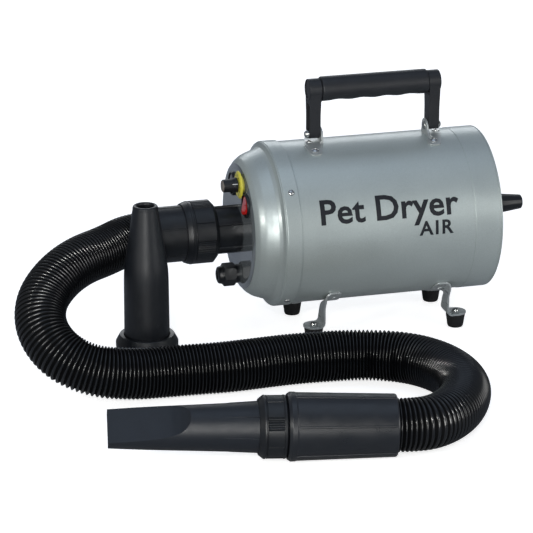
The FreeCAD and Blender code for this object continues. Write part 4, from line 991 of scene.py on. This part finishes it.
turned("nozzle_flat_neck", [(140.0, 21.0), (149.2, 21.0), (149.2, 23.0), (147.0, 23.0), (147.0, 25.8), (143.0, 25.8), (143.0, 23.3), (140.0, 23.3)],
       SATIN, "flat_nozzle", n=96, axes=H3, origin=TIP)

# ============================================================ spare round nozzle
SPO = (-252.7, -65.9, 0.0)
turned("nozzle_round", [(2.0, 20.2), (2.0, 22.5, 0.4), (24.0, 22.5), (24.0, 27.8), (30.0, 27.8), (30.0, 22.5), (34.0, 22.5), (80.0, 22.2), (90.0, 22.1), (95.0, 21.98), (99.0, 21.8), (102.5, 21.52), (106.0, 21.12), (110.0, 20.58), (115.0, 19.85),
                        (121.0, 18.95), (130.0, 17.6), (140.0, 16.1), (152.0, 14.3), (163.0, 12.6, 4.0), (165.4, 12.4, 1.0), (167.0, 11.6, 1.2), (167.0, 9.2, 0.9), (165.0, 8.4, 0.7),
                        (156.0, 8.4, 2.0), (122.0, 16.4, 8.0), (102.0, 19.4, 8.0)],
       SPARE_SHADED, "round_nozzle", n=144, axes=Z3, origin=SPO, reps=("round_nozzle",))
turned("nozzle_round_nut",
       [(0.0, 28.3), (0.0, 29.6, 0.5), (1.6, 31.0, 0.6), (3.2, 31.0, 0.2), (3.6, 30.4, 0.15), (4.3, 30.4, 0.15), (4.7, 30.95), (22.0, 30.95), (22.3, 31.0), (22.8, 30.3, 0.2),
        (23.6, 30.3, 0.2), (24.2, 31.0, 0.4), (26.6, 31.0, 1.0), (34.0, 27.0, 1.2), (34.0, 22.9, 0.5), (30.5, 22.9), (30.5, 28.3)],
       BLACK, "round_nozzle_nut", n=420, axes=Z3, origin=SPO, reps=("round_nozzle_nut",),
       mod=nut_mod(math.radians(252.0), 30.9, 4.6, 22.1))

# ============================================================ printed words on the barrel, cut from a plain typeface
def print_on_barrel(name, text, size, x0, phi0, spacing=1.0, bold=0.0):
    cu = bpy.data.curves.new(name + "_text", "FONT")
    cu.body = text
    cu.size = size * MM
    cu.offset = bold * MM
    cu.space_character = spacing
    cu.resolution_u = 3
    ob = bpy.data.objects.new(name + "_text", cu)
    bpy.context.scene.collection.objects.link(ob)
    bpy.context.view_layer.update()
    me = bpy.data.meshes.new_from_object(ob)
    bpy.data.objects.remove(ob)
    bm = bmesh.new()
    bm.from_mesh(me)
    bpy.data.meshes.remove(me)
    bmesh.ops.remove_doubles(bm, verts=bm.verts, dist=1e-6)
    ys = [v.co.y for v in bm.verts]
    lo, hi = min(ys), max(ys)
    y = lo
    while y < hi:
        bmesh.ops.bisect_plane(bm, geom=bm.verts[:] + bm.edges[:] + bm.faces[:], plane_co=(0, y, 0), plane_no=(0, 1, 0))
        y += 0.0022
    ret = bmesh.ops.extrude_face_region(bm, geom=bm.faces[:])
    up = {v for v in ret["geom"] if isinstance(v, bmesh.types.BMVert)}
    for v in bm.verts:
        x, h = v.co.x / MM, v.co.y / MM
        # h runs up the near side of the barrel from the angle phi0, measured up from -Y
        a = math.radians(180.0 - phi0) - h / 82.5
        r = 82.62 if v in up else 82.46
        v.co = Vector((x0 + x, r * math.cos(a), AX + r * math.sin(a)))
    return piece(name, bm, INK, "root", sharp=30.0, weighted=False)


print_on_barrel("print_large", "Pet Dryer", 35.0, -79.0, 14.6, 1.02, 0.72)
print_on_barrel("print_small", "AIR", 20.0, 25.0, 1.2, 1.2, 0.5)

# ============================================================ stage, lights and camera
def stage_plane(name, size, z, mat):
    me = bpy.data.meshes.new(name)
    s = size / 2.0
    me.from_pydata([(-s, -s, z), (s, -s, z), (s, s, z), (-s, s, z)], [], [(0, 1, 2, 3)])
    me.materials.append(mat)
    ob = bpy.data.objects.new(name, me)
    bpy.context.scene.collection.objects.link(ob)
    return ob


pale = finish_material("floor_pale", (0.80, 0.80, 0.80), 0.9, spec=0.1, tone=0.01, tone_scale=3.0, spread=0.02)
pn = pale.node_tree
pb = pn.nodes["Principled BSDF"]
pb.inputs["Emission Color"].default_value = (1, 1, 1, 1)
pb.inputs["Emission Strength"].default_value = 0.74
# away from the eye the floor throws back less light, as a studio floor of limited size does
dim = pn.nodes.new("ShaderNodeBsdfDiffuse")
dim.inputs["Color"].default_value = (0.42, 0.43, 0.45, 1)
lp = pn.nodes.new("ShaderNodeLightPath")
mx = pn.nodes.new("ShaderNodeMixShader")
pn.links.new(lp.outputs["Is Camera Ray"], mx.inputs[0])
pn.links.new(dim.outputs[0], mx.inputs[1])
pn.links.new(pb.outputs[0], mx.inputs[2])
pn.links.new(mx.outputs[0], pn.nodes["Material Output"].inputs["Surface"])
floor = stage_plane("floor", 14.0, -0.0004, pale)

world = bpy.data.worlds.new("studio")
bpy.context.scene.world = world
world.use_nodes = True
wt = world.node_tree
bg = wt.nodes["Background"]
bg.inputs["Strength"].default_value = 1.0
tc = wt.nodes.new("ShaderNodeTexCoord")
sepw = wt.nodes.new("ShaderNodeSeparateXYZ")
wt.links.new(tc.outputs["Generated"], sepw.inputs[0])
ramp = wt.nodes.new("ShaderNodeValToRGB")
cr = ramp.color_ramp
cr.elements[0].position = 0.0
cr.elements[0].color = (0.16, 0.165, 0.17, 1)
cr.elements[1].position = 1.0
cr.elements[1].color = (0.19, 0.235, 0.33, 1)
el = cr.elements.new(0.35)
el.color = (0.24, 0.25, 0.26, 1)
wt.links.new(sepw.outputs["Z"], ramp.inputs["Fac"])
wt.links.new(ramp.outputs["Color"], bg.inputs["Color"])
bgw = wt.nodes.new("ShaderNodeBackground")
bgw.inputs["Color"].default_value = (1, 1, 1, 1)
bgw.inputs["Strength"].default_value = 1.0
lpw = wt.nodes.new("ShaderNodeLightPath")
mxw = wt.nodes.new("ShaderNodeMixShader")
wt.links.new(lpw.outputs["Is Camera Ray"], mxw.inputs[0])
wt.links.new(bg.outputs[0], mxw.inputs[1])
wt.links.new(bgw.outputs[0], mxw.inputs[2])
wt.links.new(mxw.outputs[0], wt.nodes["World Output"].inputs["Surface"])


def area(name, az, el, dist, size, power, color=(1, 1, 1), target=(-0.08, -0.05, 0.10), size_y=None):
    """A rectangular light seen from the target at az (0 is -Y, minus is towards -X) and el degrees."""
    a, e = math.radians(az), math.radians(el)
    loc = Vector(target) + Vector((math.sin(a) * math.cos(e), -math.cos(a) * math.cos(e), math.sin(e))) * dist
    li = bpy.data.lights.new(name, "AREA")
    li.shape = "RECTANGLE"
    li.size = size
    li.size_y = size_y or size
    li.energy = power
    li.color = color
    ob = bpy.data.objects.new(name, li)
    bpy.context.scene.collection.objects.link(ob)
    ob.location = loc
    d = Vector(target) - loc
    ob.rotation_euler = d.to_track_quat("-Z", "Y").to_euler()
    return ob


area("key", -56.0, 17.0, 2.4, 0.22, 13.0, (1.0, 0.985, 0.94))
area("front", -18.0, 6.0, 2.6, 1.0, 24.0, (1.0, 0.995, 0.975), size_y=0.7)
area("above_front", -20.0, 25.0, 2.6, 0.13, 11.0, (1.0, 1.0, 0.99))
area("sky", -20.0, 80.0, 2.4, 1.8, 7.0, (0.72, 0.85, 1.0))
area("back", 166.0, 20.0, 2.4, 2.4, 12.0, (0.92, 0.96, 1.0), size_y=0.8)
area("right", 42.0, 12.0, 2.2, 0.9, 11.0, (1.0, 1.0, 0.99))

cam_data = bpy.data.cameras.new("camera")
cam = bpy.data.objects.new("camera", cam_data)
bpy.context.scene.collection.objects.link(cam)
right = Vector((0.9636, -0.2672, 0.0)).normalized()
look = Vector((0.25231, 0.90978, -0.32960)).normalized()
upv = right.cross(look).normalized()
right = look.cross(upv).normalized()
rot = Matrix((right, upv, -look)).transposed().to_4x4()
rot.translation = Vector((-0.8556, -2.68240, 1.04035))
cam.matrix_world = rot
cam_data.sensor_width = 36.0
cam_data.lens = 195.39
cam_data.clip_start = 0.05
cam_data.clip_end = 50.0
bpy.context.scene.camera = cam
bpy.context.scene.view_settings.view_transform = "Standard"
